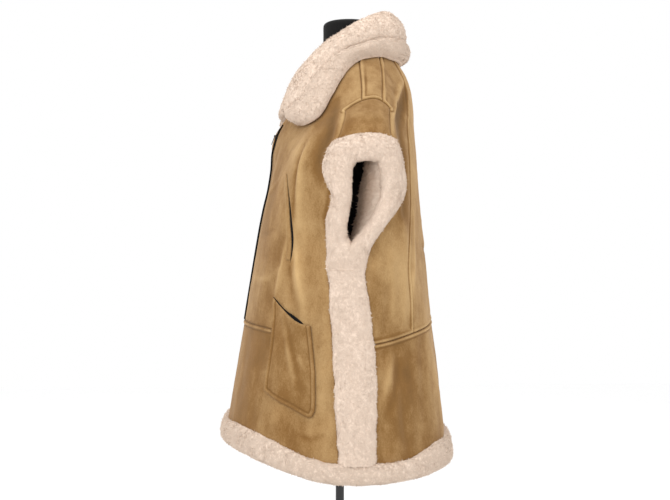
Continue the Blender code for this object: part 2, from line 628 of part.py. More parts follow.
def yoke_ring(level, depth):
    """Ring of the form's shoulders: the inside of the coat, eased away towards front and back."""
    angle = ring_angles()
    signed = np.where(angle > 180.0, angle - 360.0, angle)
    ease = YOKE_EASE * (1 - np.abs(np.sin(np.radians(angle))) ** 1.5)
    flip = np.stack([np.where(signed < 0, -1.0, 1.0), np.ones(len(angle)), np.ones(len(angle))], axis=1)
    return bell(np.abs(signed), np.full(len(angle), level), -HIDE - depth - ease) * flip


def torso_ring(row):
    side_z, front_z, back_z, half_x, front_y, back_y = row
    turn = np.radians(ring_angles())
    sine, cosine = np.sin(turn), np.cos(turn)
    end_y = np.where(cosine > 0, front_y, back_y)
    end_z = np.where(cosine > 0, front_z, back_z)
    middle = 0.012
    return np.stack([half_x * sine, middle + (end_y - middle) * np.abs(cosine),
                     end_z + (side_z - end_z) * sine ** 2], axis=1)


def neck_ring(radius, height, tilt=0.0):
    turn = np.radians(ring_angles())
    y = NECK_CENTRE_Y - radius * np.cos(turn)
    return np.stack([radius * np.sin(turn), y, height + tilt * (y - NECK_CENTRE_Y)], axis=1)


def build_form():
    torso = [neck_ring(NECK_RADIUS, 1.440), neck_ring(NECK_RADIUS + 0.002, 1.415, 0.25)]
    torso += [yoke_ring(level, depth) for level, depth in YOKE]
    torso += [torso_ring(row) for row in TORSO]
    loft("form_torso", np.array(torso), FORM_CLOTH)
    cap_start = 1.440 + SEAM_GAP
    cap = [neck_ring(NECK_RADIUS, cap_start), neck_ring(NECK_RADIUS + 0.0012, cap_start + 0.004),
           neck_ring(NECK_RADIUS + 0.0012, NECK_TOP - 0.014), neck_ring(NECK_RADIUS - 0.004, NECK_TOP - 0.004),
           neck_ring(NECK_RADIUS - 0.014, NECK_TOP)]
    loft("form_neck_cap", np.array(cap), FORM_CLOTH)
    column = turned(((POLE_RADIUS, BASE_HEIGHT + SEAM_GAP), (POLE_RADIUS, FORM_BOTTOM - SEAM_GAP)), 20)
    loft("form_pole", column, BLACK_METAL)
    base = turned(((BASE_RADIUS - 0.002, 0.0), (BASE_RADIUS, 0.002), (BASE_RADIUS, BASE_HEIGHT - 0.003),
                   (BASE_RADIUS - 0.003, BASE_HEIGHT)), 48)
    loft("form_base", base, BLACK_METAL)


def turned(profile, count):
    """Rings of a shape turned about the pole, from (radius, height) pairs."""
    turn = np.arange(count) * 2 * math.pi / count
    return np.array([[(r * math.sin(t), -r * math.cos(t), z) for t in turn] for r, z in profile])


# ---- run ---------------------------------------------------------------------------------------------------------------
def clear_scene():
    for old in list(bpy.data.objects):
        bpy.data.objects.remove(old, do_unlink=True)


clear_scene()
build_coat()
build_wool()
build_pockets()
build_collar()
build_zip()
build_form()
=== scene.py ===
"""Looks of a sheepskin coat on its dress form: suede, wool, seams, zip, form, studio and camera.

The coat's surface is the bell of the model: point = bell(angle, level). Angle 0 is the centre front (-Y),
90 the wearer's left side and 180 the centre back. Level 0 is the neck seam and 1 the suede's lower edge.
Run as a script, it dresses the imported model; its operators make one group of pieces each.
"""

import math

import bpy
import numpy as np
from bpy.props import FloatProperty, FloatVectorProperty, PointerProperty
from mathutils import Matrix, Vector


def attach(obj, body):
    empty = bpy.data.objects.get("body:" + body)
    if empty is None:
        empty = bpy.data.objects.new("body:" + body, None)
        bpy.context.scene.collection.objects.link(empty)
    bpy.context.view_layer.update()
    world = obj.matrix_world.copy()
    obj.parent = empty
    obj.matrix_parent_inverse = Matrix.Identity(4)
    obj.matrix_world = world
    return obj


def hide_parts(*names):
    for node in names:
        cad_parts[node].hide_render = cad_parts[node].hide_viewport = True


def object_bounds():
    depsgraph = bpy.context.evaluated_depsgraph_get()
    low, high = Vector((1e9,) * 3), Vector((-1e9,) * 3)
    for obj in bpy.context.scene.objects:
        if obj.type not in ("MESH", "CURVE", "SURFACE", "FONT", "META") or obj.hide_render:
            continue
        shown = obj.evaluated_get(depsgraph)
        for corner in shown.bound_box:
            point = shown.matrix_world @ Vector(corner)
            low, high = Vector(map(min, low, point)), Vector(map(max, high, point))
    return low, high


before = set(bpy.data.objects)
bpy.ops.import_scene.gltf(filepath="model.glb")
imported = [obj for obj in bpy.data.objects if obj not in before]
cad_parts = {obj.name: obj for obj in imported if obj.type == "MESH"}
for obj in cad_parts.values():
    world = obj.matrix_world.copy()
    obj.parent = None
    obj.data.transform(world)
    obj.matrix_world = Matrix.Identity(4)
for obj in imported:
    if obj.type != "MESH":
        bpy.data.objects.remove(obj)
CAD_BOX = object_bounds()
BODY = "coat_and_form"

bl_info = {
    "name": "Shearling coat",
    "version": (1, 0, 0),
    "blender": (4, 5, 0),
    "location": "View3D > Sidebar > Coat",
    "description": "Suede panels, wool, seams, zip, dress form and studio for a sheepskin coat",
    "category": "Object",
}

# ---- the bell ------------------------------------------------------------------------------------
HIDE = 0.008            # hide with its wool inside
SEAM_GAP = 0.0003
ZIP_HALF = 0.0045
NECK_CENTRE_Y = 0.020

RING_COLUMNS = ("level", "side_x", "side_y", "side_z", "front_y", "front_z", "back_y", "back_z", "square",
                "rise")
RINGS = (
    (0.00, 0.080, 0.058, 1.405, -0.110, 1.288, 0.117, 1.420, 2.0, 2.0),      # neck seam
    (0.08, 0.148, 0.052, 1.350, -0.137, 1.238, 0.154, 1.352, 1.8, 2.0),
    (0.16, 0.207, 0.047, 1.293, -0.148, 1.197, 0.164, 1.290, 1.85, 2.0),     # shoulder point
    (0.24, 0.262, 0.037, 1.240, -0.151, 1.157, 0.161, 1.226, 2.2, 2.0),
    (0.30, 0.289, 0.028, 1.192, -0.157, 1.118, 0.162, 1.166, 2.45, 2.0),     # top of the cuff
    (0.40, 0.293, 0.022, 1.092, -0.169, 1.066, 0.168, 1.086, 2.5, 2.2),
    (0.50, 0.287, 0.019, 1.000, -0.183, 0.994, 0.179, 0.998, 2.4, 2.6),
    (0.60, 0.291, 0.015, 0.900, -0.198, 0.910, 0.189, 0.910, 2.3, 3.0),
    (0.70, 0.301, 0.010, 0.788, -0.213, 0.824, 0.200, 0.826, 2.2, 3.4),      # horizontal seam
    (0.85, 0.317, 0.006, 0.672, -0.233, 0.706, 0.218, 0.698, 2.2, 3.4),
    (1.00, 0.330, 0.004, 0.556, -0.252, 0.596, 0.233, 0.562, 2.2, 3.4),      # lower edge of the suede
    (1.10, 0.337, 0.004, 0.515, -0.259, 0.566, 0.239, 0.528, 2.2, 3.4),      # middle of the hem's underside
)

# the coat's largest folds: angle, level, half widths in both, height, lean in degrees for each unit of level
FOLDS = (
    (133.0, 0.33, 13.0, 0.26, -0.014, 30.0),     # hollow behind the cap sleeve
    (60.0, 0.36, 9.0, 0.17, -0.008, 0.0),        # hollow in front of it
    (47.0, 0.33, 7.0, 0.22, 0.005, -25.0),       # ridge along the front
    (118.0, 0.82, 12.0, 0.20, -0.006, 12.0),
    (140.0, 0.80, 11.0, 0.24, 0.006, 10.0),
    (160.0, 0.88, 8.0, 0.22, -0.005, 0.0),
    (24.0, 0.86, 8.0, 0.22, 0.004, -10.0),
    (62.0, 0.84, 9.0, 0.22, -0.005, 0.0),
    (73.0, 0.66, 7.0, 0.14, 0.004, 0.0),
)

SEAM_COLUMNS = ("level", "princess", "arm_front", "strap_front", "strap_back", "arm_back", "back_seam")
SEAMS = (
    (0.00, 30.0, 60.0, 82.0, 112.0, 130.0, 150.0),
    (0.10, 27.0, 66.0, 84.0, 104.5, 118.0, 149.0),
    (0.185, 26.0, 74.0, 84.0, 102.0, 111.0, 144.0),
    (0.24, 31.0, 73.0, 84.0, 102.0, 111.0, 140.0),
    (0.275, 34.5, 71.0, 83.0, 102.0, 113.0, 140.0),
    (0.30, 37.2, 66.5, 81.0, 103.0, 118.0, 139.5),
    (0.34, 40.7, 64.6, 80.0, 105.0, 122.5, 139.0),
    (0.37, 43.0, 67.5, 80.0, 105.0, 124.5, 138.5),
    (0.40, 45.0, 71.0, 80.0, 104.0, 122.0, 138.0),
    (0.45, 47.5, 69.2, 80.0, 98.0, 111.0, 134.0),
    (0.51, 49.9, 70.5, 78.0, 88.0, 97.0, 130.0),
    (0.56, 49.1, 72.0, 79.0, 87.0, 92.5, 128.0),
    (0.62, 43.0, 74.5, 81.0, 89.0, 95.0, 128.5),
    (0.70, 42.0, 77.0, 84.0, 92.0, 99.0, 128.0),
    (0.85, 42.0, 80.0, 86.0, 94.0, 100.0, 128.0),
    (1.00, 40.0, 82.0, 87.0, 94.0, 99.0, 128.0),
    (1.10, 40.0, 82.0, 87.0, 94.0, 99.0, 128.0),
)


def read(table, columns, name, at):
    """Value of a named column: a smooth cubic through the rows, each row's slope from its neighbours."""
    rows = np.array(table, dtype=float)
    places, values = rows[:, 0], rows[:, columns.index(name)]
    at = np.clip(np.asarray(at, dtype=float), places[0], places[-1])
    slopes = np.gradient(values, places)
    row = np.clip(np.searchsorted(places, at, side="right") - 1, 0, len(places) - 2)
    width = places[row + 1] - places[row]
    f = (at - places[row]) / width
    return (values[row] * (1 + 2 * f) * (1 - f) ** 2 + slopes[row] * width * f * (1 - f) ** 2
            + values[row + 1] * f * f * (3 - 2 * f) + slopes[row + 1] * width * f * f * (f - 1))


def humps(table, angle, level):
    """Sum of a table's round humps, each height * exp(-(across / wide)^2 - (along / long)^2)."""
    total = np.zeros(np.broadcast(angle, level).shape)
    for at_angle, at_level, wide, long, height, lean in table:
        across = (angle - at_angle - lean * (level - at_level)) / wide
        along = (level - at_level) / long
        total = total + height * np.exp(-across ** 2 - along ** 2)
    return total


def bell_point(angle, level):
    """Point of the bell: a squared ellipse in plan, with the large folds on it.

    Its height goes from the middle's to the side's as |sin|^rise.
    """
    side_x, side_y, side_z, square, rise = (read(RINGS, RING_COLUMNS, name, level)
                                            for name in ("side_x", "side_y", "side_z", "square", "rise"))
    turn = np.radians(angle)
    sine, cosine = np.sin(turn), np.cos(turn)
    front = cosine > 0
    end_y = np.where(front, read(RINGS, RING_COLUMNS, "front_y", level),
                     read(RINGS, RING_COLUMNS, "back_y", level))
    end_z = np.where(front, read(RINGS, RING_COLUMNS, "front_z", level),
                     read(RINGS, RING_COLUMNS, "back_z", level))
    reach = (np.abs(cosine) ** square + np.abs(sine) ** square) ** (-1.0 / square)
    x = side_x * reach * sine
    y = side_y + (end_y - side_y) * reach * np.abs(cosine)
    z = end_z + (side_z - end_z) * np.abs(sine) ** rise
    out = np.stack([x, y - side_y], axis=-1)
    out = out / np.linalg.norm(out, axis=-1, keepdims=True)
    height = humps(FOLDS, np.abs(angle), level)
    return np.stack([x + out[..., 0] * height, y + out[..., 1] * height, z], axis=-1)


def bell_normal(angle, level):
    """Unit normal of the bell, from the cross product of small steps down and round."""
    step_a, step_l = 0.5, 0.004
    along = bell_point(angle + step_a, level) - bell_point(angle - step_a, level)
    low, high = np.clip(level - step_l, 0.0, 1.10), np.clip(level + step_l, 0.0, 1.10)
    normal = np.cross(bell_point(angle, high) - bell_point(angle, low), along)
    return normal / np.linalg.norm(normal, axis=-1, keepdims=True)


def bell(angle, level, lift=0.0):
    """Bell point moved out along its normal by lift."""
    angle, level = np.broadcast_arrays(np.asarray(angle, dtype=float), np.asarray(level, dtype=float))
    return bell_point(angle, level) + bell_normal(angle, level) * (np.zeros(angle.shape) + lift)[..., None]


# ---- noise and small numpy tools -----------------------------------------------------------------
def lattice(cells, seed):
    """Number from 0 to 1 for each whole-numbered cell, from a fixed integer hash."""
    cells = cells.astype(np.int64)
    x, y, z = cells[..., 0] * 73856093, cells[..., 1] * 19349663, cells[..., 2] * 83492791
    mixed = x ^ y ^ z ^ (seed * 2654435761)
    mixed = (mixed ^ (mixed >> 13)) * 1274126177 & 0x7FFFFFFF
    mixed = (mixed ^ (mixed >> 16)) * 668265263 & 0x7FFFFFFF
    return ((mixed >> 7) & 0xFFFF) / 65535.0


def noise(points, size, seed=0):
    """Value noise from -1 to 1, its features size metres wide: a smooth blend of eight lattice values."""
    scaled = points / size + 1000.0
    cell = np.floor(scaled)
    f = scaled - cell
    f = f * f * (3 - 2 * f)
    total = np.zeros(points.shape[:-1])
    for dx in (0, 1):
        for dy in (0, 1):
            for dz in (0, 1):
                weight = (np.where(dx, f[..., 0], 1 - f[..., 0]) * np.where(dy, f[..., 1], 1 - f[..., 1])
                          * np.where(dz, f[..., 2], 1 - f[..., 2]))
                total += weight * lattice(cell + np.array([dx, dy, dz]), seed)
    return total * 2 - 1


def curls(points, size, seed=0):
    """Height of round clumps about as wide as size: 1 at a clump's middle, 0 in the clefts between.

    Each lattice cell holds one middle at a hashed place, and a point takes its nearest middle's distance.
    """
    scaled = points / size + 1000.0
    cell = np.floor(scaled)
    nearest = np.full(points.shape[:-1], 9.0)
    for dx in (-1, 0, 1):
        for dy in (-1, 0, 1):
            for dz in (-1, 0, 1):
                at = cell + np.array([dx, dy, dz])
                middle = at + np.stack([lattice(at, seed + k) for k in (1, 2, 3)], axis=-1)
                nearest = np.minimum(nearest, ((scaled - middle) ** 2).sum(axis=-1))
    return np.clip(1 - np.sqrt(nearest), 0, 1)


def unit(vectors):
    """Vectors of length 1 in the same directions."""
    return vectors / np.maximum(np.linalg.norm(vectors, axis=-1, keepdims=True), 1e-12)


def smooth(low, high, at):
    """0 below low, 1 above high, and a smooth step between."""
    f = np.clip((at - low) / (high - low), 0.0, 1.0)
    return f * f * (3 - 2 * f)


def new_mesh(name, points, quads, triangles=None, values=None, normals=None):
    """Object of a mesh from arrays: quads and triangles of point numbers, and values by point.

    Shading normals are given by point or by corner.
    """
    quads = np.asarray(quads, dtype=np.int32).reshape(-1, 4)
    if triangles is None:
        triangles = np.zeros((0, 3))
    triangles = np.asarray(triangles, dtype=np.int32).reshape(-1, 3)
    mesh = bpy.data.meshes.new(name)
    mesh.vertices.add(len(points))
    mesh.vertices.foreach_set("co", np.asarray(points, dtype=np.float32).ravel())
    corners = np.concatenate([quads.ravel(), triangles.ravel()])
    mesh.loops.add(len(corners))
    mesh.loops.foreach_set("vertex_index", corners)
    totals = np.concatenate([np.full(len(quads), 4), np.full(len(triangles), 3)]).astype(np.int32)
    mesh.polygons.add(len(totals))
    mesh.polygons.foreach_set("loop_start", np.concatenate([[0], np.cumsum(totals)[:-1]]).astype(np.int32))
    mesh.polygons.foreach_set("loop_total", totals)
    mesh.polygons.foreach_set("use_smooth", np.ones(len(totals), dtype=bool))
    for key, value in (values or {}).items():
        attribute = mesh.attributes.new(key, "FLOAT", "POINT")
        attribute.data.foreach_set("value", np.asarray(value, dtype=np.float32))
    mesh.update(calc_edges=True)
    mesh.validate()
    if normals is not None:
        mesh.normals_split_custom_set(normals if len(normals) == len(corners)
                                      else np.asarray(normals)[corners])
    made = bpy.data.objects.new(name, mesh)
    bpy.context.scene.collection.objects.link(made)
    return made


def finish_piece(piece, look, replaced=(), body=BODY):
    """A finished piece gets its material, rides on its body and stands for its CAD nodes."""
    piece.data.materials.append(look)
    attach(piece, body)
    if replaced:
        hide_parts(*replaced)
    return piece


# ---- the coat's grid -----------------------------------------------------------------------------
# cells between the lines that run down the coat, and level at the end of each stretch with its cells
SPANS = (("zip", 2), ("front", 28), ("side_front", 40), ("arm_front", 8), ("strap", 16), ("arm_back", 8),
         ("side_back", 36), ("back", 30))
STRETCHES = (("neck", 0.185, 34), ("sleeve", 0.283, 18), ("armhole", 0.56, 52), ("chest", 0.655, 16),
             ("waist", 0.70, 10), ("skirt", 1.00, 54))


def eased(cells):
    """Shares from 0 to 1 that crowd towards both ends, where the seams need close points."""
    share = np.arange(1, cells + 1) / cells
    return share - 0.115 * np.sin(2 * math.pi * share) if cells > 4 else share


def grid_lines():
    """Number of the first column of each span and of the first row of each stretch, and of the last lines."""
    columns, rows, count = {}, {}, 0
    for name, cells in SPANS:
        columns[name] = count
        count += cells
    columns["end"], count = count, 0
    for name, _, cells in STRETCHES:
        rows[name] = count
        count += cells
    rows["end"] = count
    return columns, rows


COLUMN, ROW = grid_lines()


def sleeve_arch(angle, level, front, back):
    """The sleeve's head and its cuff edge bow: level is lowered towards the middle between the arm seams."""
    across = np.clip((angle - (front + back) / 2) / ((back - front) / 2), -1.0, 1.0)
    head = 0.0315 * np.exp(-((level - 0.185) / 0.05) ** 2)
    edge = 0.008 * np.exp(-((level - 0.283) / 0.03) ** 2)
    return -(1 - across ** 2) * (head + edge)


def pocket_slant(angle, level):
    """The patch pocket's mouth and bottom slope down towards the back: so do the rows under them."""
    tilt = (angle - 56.0) / 14.0 * np.exp(-((angle - 56.0) / 16.0) ** 2)
    return tilt * (0.028 * np.exp(-((level - 0.655) / 0.03) ** 2)
                   + 0.040 * np.exp(-((level - 0.8875) / 0.06) ** 2))


# where the lower edge hangs higher or lower than level 1: angle and shift of level
HANG = ((0.0, -0.012), (12.0, -0.022), (26.0, -0.030), (43.0, -0.027), (51.0, -0.020), (60.0, -0.006),
        (69.0, 0.004), (76.0, 0.007), (100.0, 0.008), (110.0, 0.010), (118.0, 0.005), (128.0, -0.013),
        (137.0, -0.027), (180.0, -0.030))


def hang(angle, level):
    """Shift of level that brings the skirt's rows to the real, slightly waving lower edge."""
    angles, shifts = np.array(HANG).T
    return np.interp(angle, angles, shifts) * smooth(0.88, 1.0, level)


def coat_grid():
    """Angle and level at each corner of the grid, [column, row]: columns follow seams, rows levels."""
    levels = [np.zeros(1)]
    for _, end, cells in STRETCHES:
        start = levels[-1][-1]
        levels.append(start + (end - start) * eased(cells))
    levels = np.concatenate(levels)
    lines = [np.zeros_like(levels),
             np.degrees(ZIP_HALF / (-read(RINGS, RING_COLUMNS, "front_y", levels) + 0.02))]
    lines += [read(SEAMS, SEAM_COLUMNS, name, levels) for name in SEAM_COLUMNS[1:]]
    lines.append(np.full_like(levels, 180.0))
    angles = [lines[0][None]]
    for (_, cells), start, end in zip(SPANS, lines[:-1], lines[1:]):
        angles.append(start + (end - start) * eased(cells)[:, None])
    angles = np.concatenate(angles)
    level = np.broadcast_to(levels, angles.shape).copy()
    front, back = lines[3], lines[6]
    bow, slant = sleeve_arch(angles, level, front, back), pocket_slant(angles, level)
    return angles, level + bow + slant + hang(angles, level)


ANGLES, LEVELS = coat_grid()


def block(first, last, top, bottom):
    """Mask of the grid's cells from line to line."""
    mask = np.zeros((COLUMN["end"], ROW["end"]), dtype=bool)
    mask[COLUMN[first]:COLUMN[last], ROW[top]:ROW[bottom]] = True
    return mask


# ---- suede panels --------------------------------------------------------------------------------
DEGREE = 0.0048         # length of one degree of the bell beside the slit
SLIT_OPEN = 0.0030      # half width of the slit where it gapes most
DEEPEST = 0.0056        # lowest that a crease lies, so that hide is left under it
SLIT = (0.300, 0.550)   # levels of the slit pocket's two ends
ALLOWANCE = 0.0080      # width of the turned-under hide beside a stitched seam
SOFTEN = 0.08           # how far the tones of the two panels meet at the princess seam
RELIEF_FADES = 0.022    # distance from a rim over which the worn relief dies out
LAP_HIGH = 0.0020       # how much higher the turned-under hide stands
TROUGH_DEEP = 0.0008    # depth of the stitched line beside it
TROUGH_HALF = 0.0013    # half width of that line
RIM_DROP = 0.0020       # how far a rim rounds over
RIM_REACH = 0.0030      # distance over which it does
RIM_SHADE = 0.24        # how much darker the rim is
RIM_DARK = 0.0018       # width of its dark line

# creases and ridges of the worn suede: angle, level, half widths in both, height, lean
CREASES = (
    (49.5, 0.32, 2.2, 0.10, 0.0042, -14.0),
    (56.0, 0.58, 2.4, 0.09, 0.0036, 45.0),
    (45.5, 0.575, 1.6, 0.07, 0.0030, -50.0),
    (66.0, 0.30, 2.8, 0.09, -0.0035, -12.0),
    (30.0, 0.60, 3.0, 0.10, 0.0022, -30.0),
    (16.0, 0.36, 3.2, 0.14, 0.0025, -22.0),
    (22.0, 0.84, 2.6, 0.12, -0.0025, 14.0),
    (33.0, 0.92, 2.2, 0.08, 0.0022, 8.0),
    (58.0, 0.95, 2.6, 0.09, -0.0025, 20.0),
    (73.0, 0.78, 2.0, 0.12, 0.0022, 8.0),
    (70.0, 0.50, 2.2, 0.08, 0.0022, 14.0),
    (126.0, 0.24, 3.0, 0.10, -0.0040, 40.0),
    (120.0, 0.42, 3.2, 0.10, 0.0030, 46.0),
    (112.0, 0.56, 2.6, 0.09, 0.0026, 34.0),
    (108.0, 0.66, 2.2, 0.06, -0.0022, -30.0),
    (122.0, 0.62, 2.6, 0.08, 0.0026, -24.0),
    (110.0, 0.84, 3.2, 0.12, 0.0020, 16.0),
    (117.0, 0.90, 2.4, 0.09, -0.0028, 10.0),
    (133.0, 0.80, 3.0, 0.12, -0.0030, -20.0),
    (146.0, 0.86, 2.8, 0.12, 0.0028, 12.0),
    (158.0, 0.50, 3.0, 0.16, 0.0026, 14.0),
    (168.0, 0.30, 3.2, 0.14, -0.0022, -10.0),
    (166.0, 0.80, 2.8, 0.14, -0.0026, 10.0),
    (90.0, 0.215, 4.0, 0.018, 0.0018, 60.0),
    (98.0, 0.245, 3.0, 0.016, -0.0016, -80.0),
    (82.0, 0.250, 2.6, 0.020, 0.0015, 70.0),
)


# folds that run along a line: half width and height in metres, shade (painted shade along a valley, painted
# highlight along a ridge), then the line's angles and levels
LINES = (
    (0.0060, -0.0040, -0.16, (53.5, 49.0, 47.0, 47.5, 48.0, 49.0),
     (0.200, 0.247, 0.303, 0.367, 0.413, 0.453)),
    (0.0090, 0.0040, 0.14, (55.0, 51.0, 50.0, 50.5, 51.5, 53.0), (0.230, 0.270, 0.317, 0.373, 0.437, 0.483)),
    (0.0050, 0.0030, 0.20, (46.5, 45.5, 44.5, 43.0, 42.0), (0.490, 0.517, 0.550, 0.587, 0.623)),
    (0.0075, 0.0042, 0.14, (50.5, 51.5, 54.5, 58.0, 61.0), (0.470, 0.503, 0.557, 0.607, 0.655)),
    (0.0080, -0.0030, -0.14, (47.5, 49.5, 52.0, 55.5), (0.520, 0.560, 0.605, 0.645)),
    (0.0045, -0.0030, -0.22, (69.5, 68.0, 68.0, 69.0), (0.385, 0.423, 0.450, 0.490)),
    (0.0060, 0.0040, 0.10, (72.5, 73.5, 73.0, 71.5), (0.170, 0.200, 0.235, 0.275)),
    (0.0110, -0.0028, -0.24, (69.0, 67.0, 66.0, 64.0, 62.0), (0.120, 0.170, 0.220, 0.270, 0.330)),
    (0.0120, -0.0030, -0.20, (61.5, 60.0, 60.5, 63.5), (0.230, 0.290, 0.337, 0.383)),
    (0.0055, 0.0050, 0.22, (150.0, 134.5, 122.0, 113.5, 113.5), (0.070, 0.107, 0.153, 0.217, 0.270)),
    (0.0130, -0.0090, -0.30, (150.0, 140.0, 130.0, 123.0, 121.5), (0.085, 0.135, 0.180, 0.225, 0.285)),
    (0.0160, -0.0070, -0.22, (128.0, 127.5, 126.0, 122.0), (0.260, 0.320, 0.390, 0.460)),
    (0.0070, 0.0030, 0.14, (139.0, 136.5, 133.0, 128.5, 124.5), (0.420, 0.490, 0.550, 0.610, 0.660)),
    (0.0050, 0.0022, 0.12, (60.0, 62.0, 64.0), (0.735, 0.760, 0.775)),
    (0.0045, 0.0016, 0.10, (93.0, 88.0, 82.0, 77.0), (0.212, 0.215, 0.211, 0.215)),
    (0.0050, -0.0016, -0.08, (104.0, 97.0, 90.0, 84.0), (0.238, 0.236, 0.240, 0.236)),
    (0.0060, 0.0018, 0.10, (30.0, 22.0, 12.0, 5.0), (0.300, 0.325, 0.338, 0.345)),
    (0.0050, -0.0018, -0.10, (40.0, 30.0, 18.0, 6.0), (0.452, 0.470, 0.478, 0.476)),
    (0.0060, 0.0020, 0.10, (44.0, 36.0, 24.0, 12.0), (0.560, 0.585, 0.592, 0.585)),
    (0.0060, -0.0018, -0.10, (76.0, 68.0, 60.0), (0.925, 0.945, 0.940)),
    (0.0060, 0.0024, 0.12, (102.0, 106.0, 110.0, 112.0), (0.860, 0.815, 0.765, 0.725)),
    (0.0080, -0.0030, -0.16, (104.0, 110.0, 114.0, 116.0), (0.900, 0.850, 0.790, 0.740)),
    (0.0070, 0.0022, 0.10, (160.0, 166.0, 172.0, 179.0), (0.300, 0.330, 0.340, 0.345)),
    (0.0070, -0.0020, -0.10, (150.0, 158.0, 168.0, 178.0), (0.500, 0.520, 0.528, 0.530)),
)

# darker and paler patches: painted shade in the hollows beside the cap sleeve and in other large folds,
# painted highlight on some ridges, and partly the hide's uneven tone; angle, level, half widths in both,
# shade, lean
PAINTED_SHADE_AND_TONE = (
    (62.0, 0.20, 9.0, 0.12, -0.22, -20.0), (50.0, 0.16, 9.0, 0.07, -0.10, 0.0),
    (125.0, 0.30, 10.0, 0.16, -0.20, 10.0),
    (92.0, 0.10, 14.0, 0.07, 0.06, 0.0), (74.0, 0.45, 6.0, 0.10, -0.10, 0.0),
    (60.0, 0.92, 14.0, 0.09, -0.06, 0.0),
    (20.0, 0.40, 9.0, 0.10, -0.14, 0.0), (118.0, 0.56, 8.0, 0.09, 0.10, 0.0),
    (120.0, 0.80, 7.0, 0.07, -0.20, -20.0),
    (112.0, 0.92, 7.0, 0.05, -0.12, 0.0), (144.0, 0.84, 8.0, 0.10, 0.12, 0.0),
    (100.0, 0.62, 5.0, 0.10, -0.08, 0.0),
    (54.0, 0.93, 12.0, 0.06, -0.06, 0.0), (70.0, 0.90, 8.0, 0.08, -0.05, 0.0),
    (12.0, 0.80, 8.0, 0.10, 0.08, 0.0), (30.0, 0.88, 8.0, 0.08, -0.08, 0.0),
    (164.0, 0.55, 9.0, 0.14, -0.08, 0.0),
)

# the fronts swell at the chest, more on the wearer's right: signed angle, level, half widths, height, lean
SWELLS = ((-16.0, 0.130, 8.0, 0.080, 0.015, 0.0), (-7.0, 0.090, 3.0, 0.060, 0.0050, 0.0))


def line_relief(points):
    """Height, and painted shade and highlight, of the folds along lines: exp(-(distance / half width)^2),
    fading at both ends.
    """
    height, shade = np.zeros(len(points)), np.zeros(len(points))
    # tone: painted shade for a valley, painted highlight for a ridge
    for wide, high, tone, angles, levels in LINES:
        share = np.linspace(0.0, 1.0, 90)
        knots = np.linspace(0.0, 1.0, len(angles))
        path = bell_point(np.interp(share, knots, angles), np.interp(share, knots, levels))
        fade = np.sin(math.pi * share) ** 0.6
        reach = 3.0 * wide
        close = np.where(((points > path.min(axis=0) - reach)
                          & (points < path.max(axis=0) + reach)).all(axis=1))[0]
        if len(close):
            apart = np.linalg.norm(points[close][:, None] - path[None], axis=2)
            pick = apart.argmin(axis=1)
            weight = fade[pick] * np.exp(-(apart[np.arange(len(close)), pick] / wide) ** 2)
            height[close] += high * weight
            shade[close] += tone * weight
    return height, shade


def swell_height(angle, level):
    """Swell of the chest at signed angles; the zip at angle 0 stays where it is."""
    return humps(SWELLS, angle, level) * smooth(1.0, 4.0, np.abs(angle))


def suede_relief(angle, level, base):
    """Height and shade of the worn hide over the bell: creases, folds along lines, and soft dents; the shade
    is painted shade and highlight of the folds, with random mottling of the hide.

    The larger dents are drawn out downwards.
    """
    drawn = base * np.array([1.0, 1.0, 0.45])
    lines, shade = line_relief(base)
    height = humps(CREASES, np.abs(angle), level) + lines
    dents = (drawn, 0.0022, 0.070, 5), (drawn, 0.0010, 0.028, 9), (base, 0.0004, 0.011, 4)
    for place, high, size, seed in dents:
        height = height + high * noise(place, size, seed)
    # painted shade and highlight of the large folds, partly the hide's own tone
    shade = shade + humps(PAINTED_SHADE_AND_TONE, angle, level)
    for place, dark, size, seed in ((drawn, 0.06, 0.060, 8), (base, 0.05, 0.022, 7)):
        shade = shade + dark * noise(place, size, seed)
    return height, shade


def nearest(points, to):
    """Distance from each point to the nearest of the others."""
    best = np.full(len(points), 1e9)
    for part in np.array_split(to, max(1, len(to) // 64)):
        best = np.minimum(best, ((points[:, None] - part[None]) ** 2).sum(axis=2).min(axis=1))
    return np.sqrt(best)


def slit_width(level):
    """Half width of the open slit: half a sine wave, fuller towards its lower end."""
    along = np.clip((level - SLIT[0]) / (SLIT[1] - SLIT[0]), 0.0, 1.0)
    return SLIT_OPEN * np.sin(math.pi * along ** 2.0)


def slit_turn(level):
    """Half width of the open slit as degrees of the bell."""
    return slit_width(level) / DEGREE


def panel_cells(mask, side):
    """The masked cells, their quads as numbers of the corners in use, and those corners' columns and rows."""
    cells = np.argwhere(mask)
    ring = np.stack([cells, cells + [0, 1], cells + [1, 1], cells + [1, 0]], axis=1)
    if side < 0:
        ring = ring[:, ::-1]
    rows = ANGLES.shape[1]
    used, numbers = np.unique(ring[..., 0] * rows + ring[..., 1], return_inverse=True)
    return cells, numbers.reshape(-1, 4), used // rows, used % rows


def rim_edges(base, quads):
    """Start and end points of the edges that one quad alone uses, and each point's way into the panel."""
    starts, ends = quads.ravel(), np.roll(quads, -1, axis=1).ravel()
    owner = np.repeat(np.arange(len(quads)), 4)
    key = np.minimum(starts, ends) * len(base) + np.maximum(starts, ends)
    _, first, uses = np.unique(key, return_index=True, return_counts=True)
    rim = np.sort(first[uses == 1])
    start, end = starts[rim], ends[rim]
    middle = base[quads[owner[rim]]].mean(axis=1)
    along = unit(base[end] - base[start])
    inward = middle - (base[start] + base[end]) / 2
    inward = unit(inward - along * (inward * along).sum(axis=1, keepdims=True))
    pull = np.zeros_like(base)
    np.add.at(pull, start, inward)
    np.add.at(pull, end, inward)
    return start, end, pull


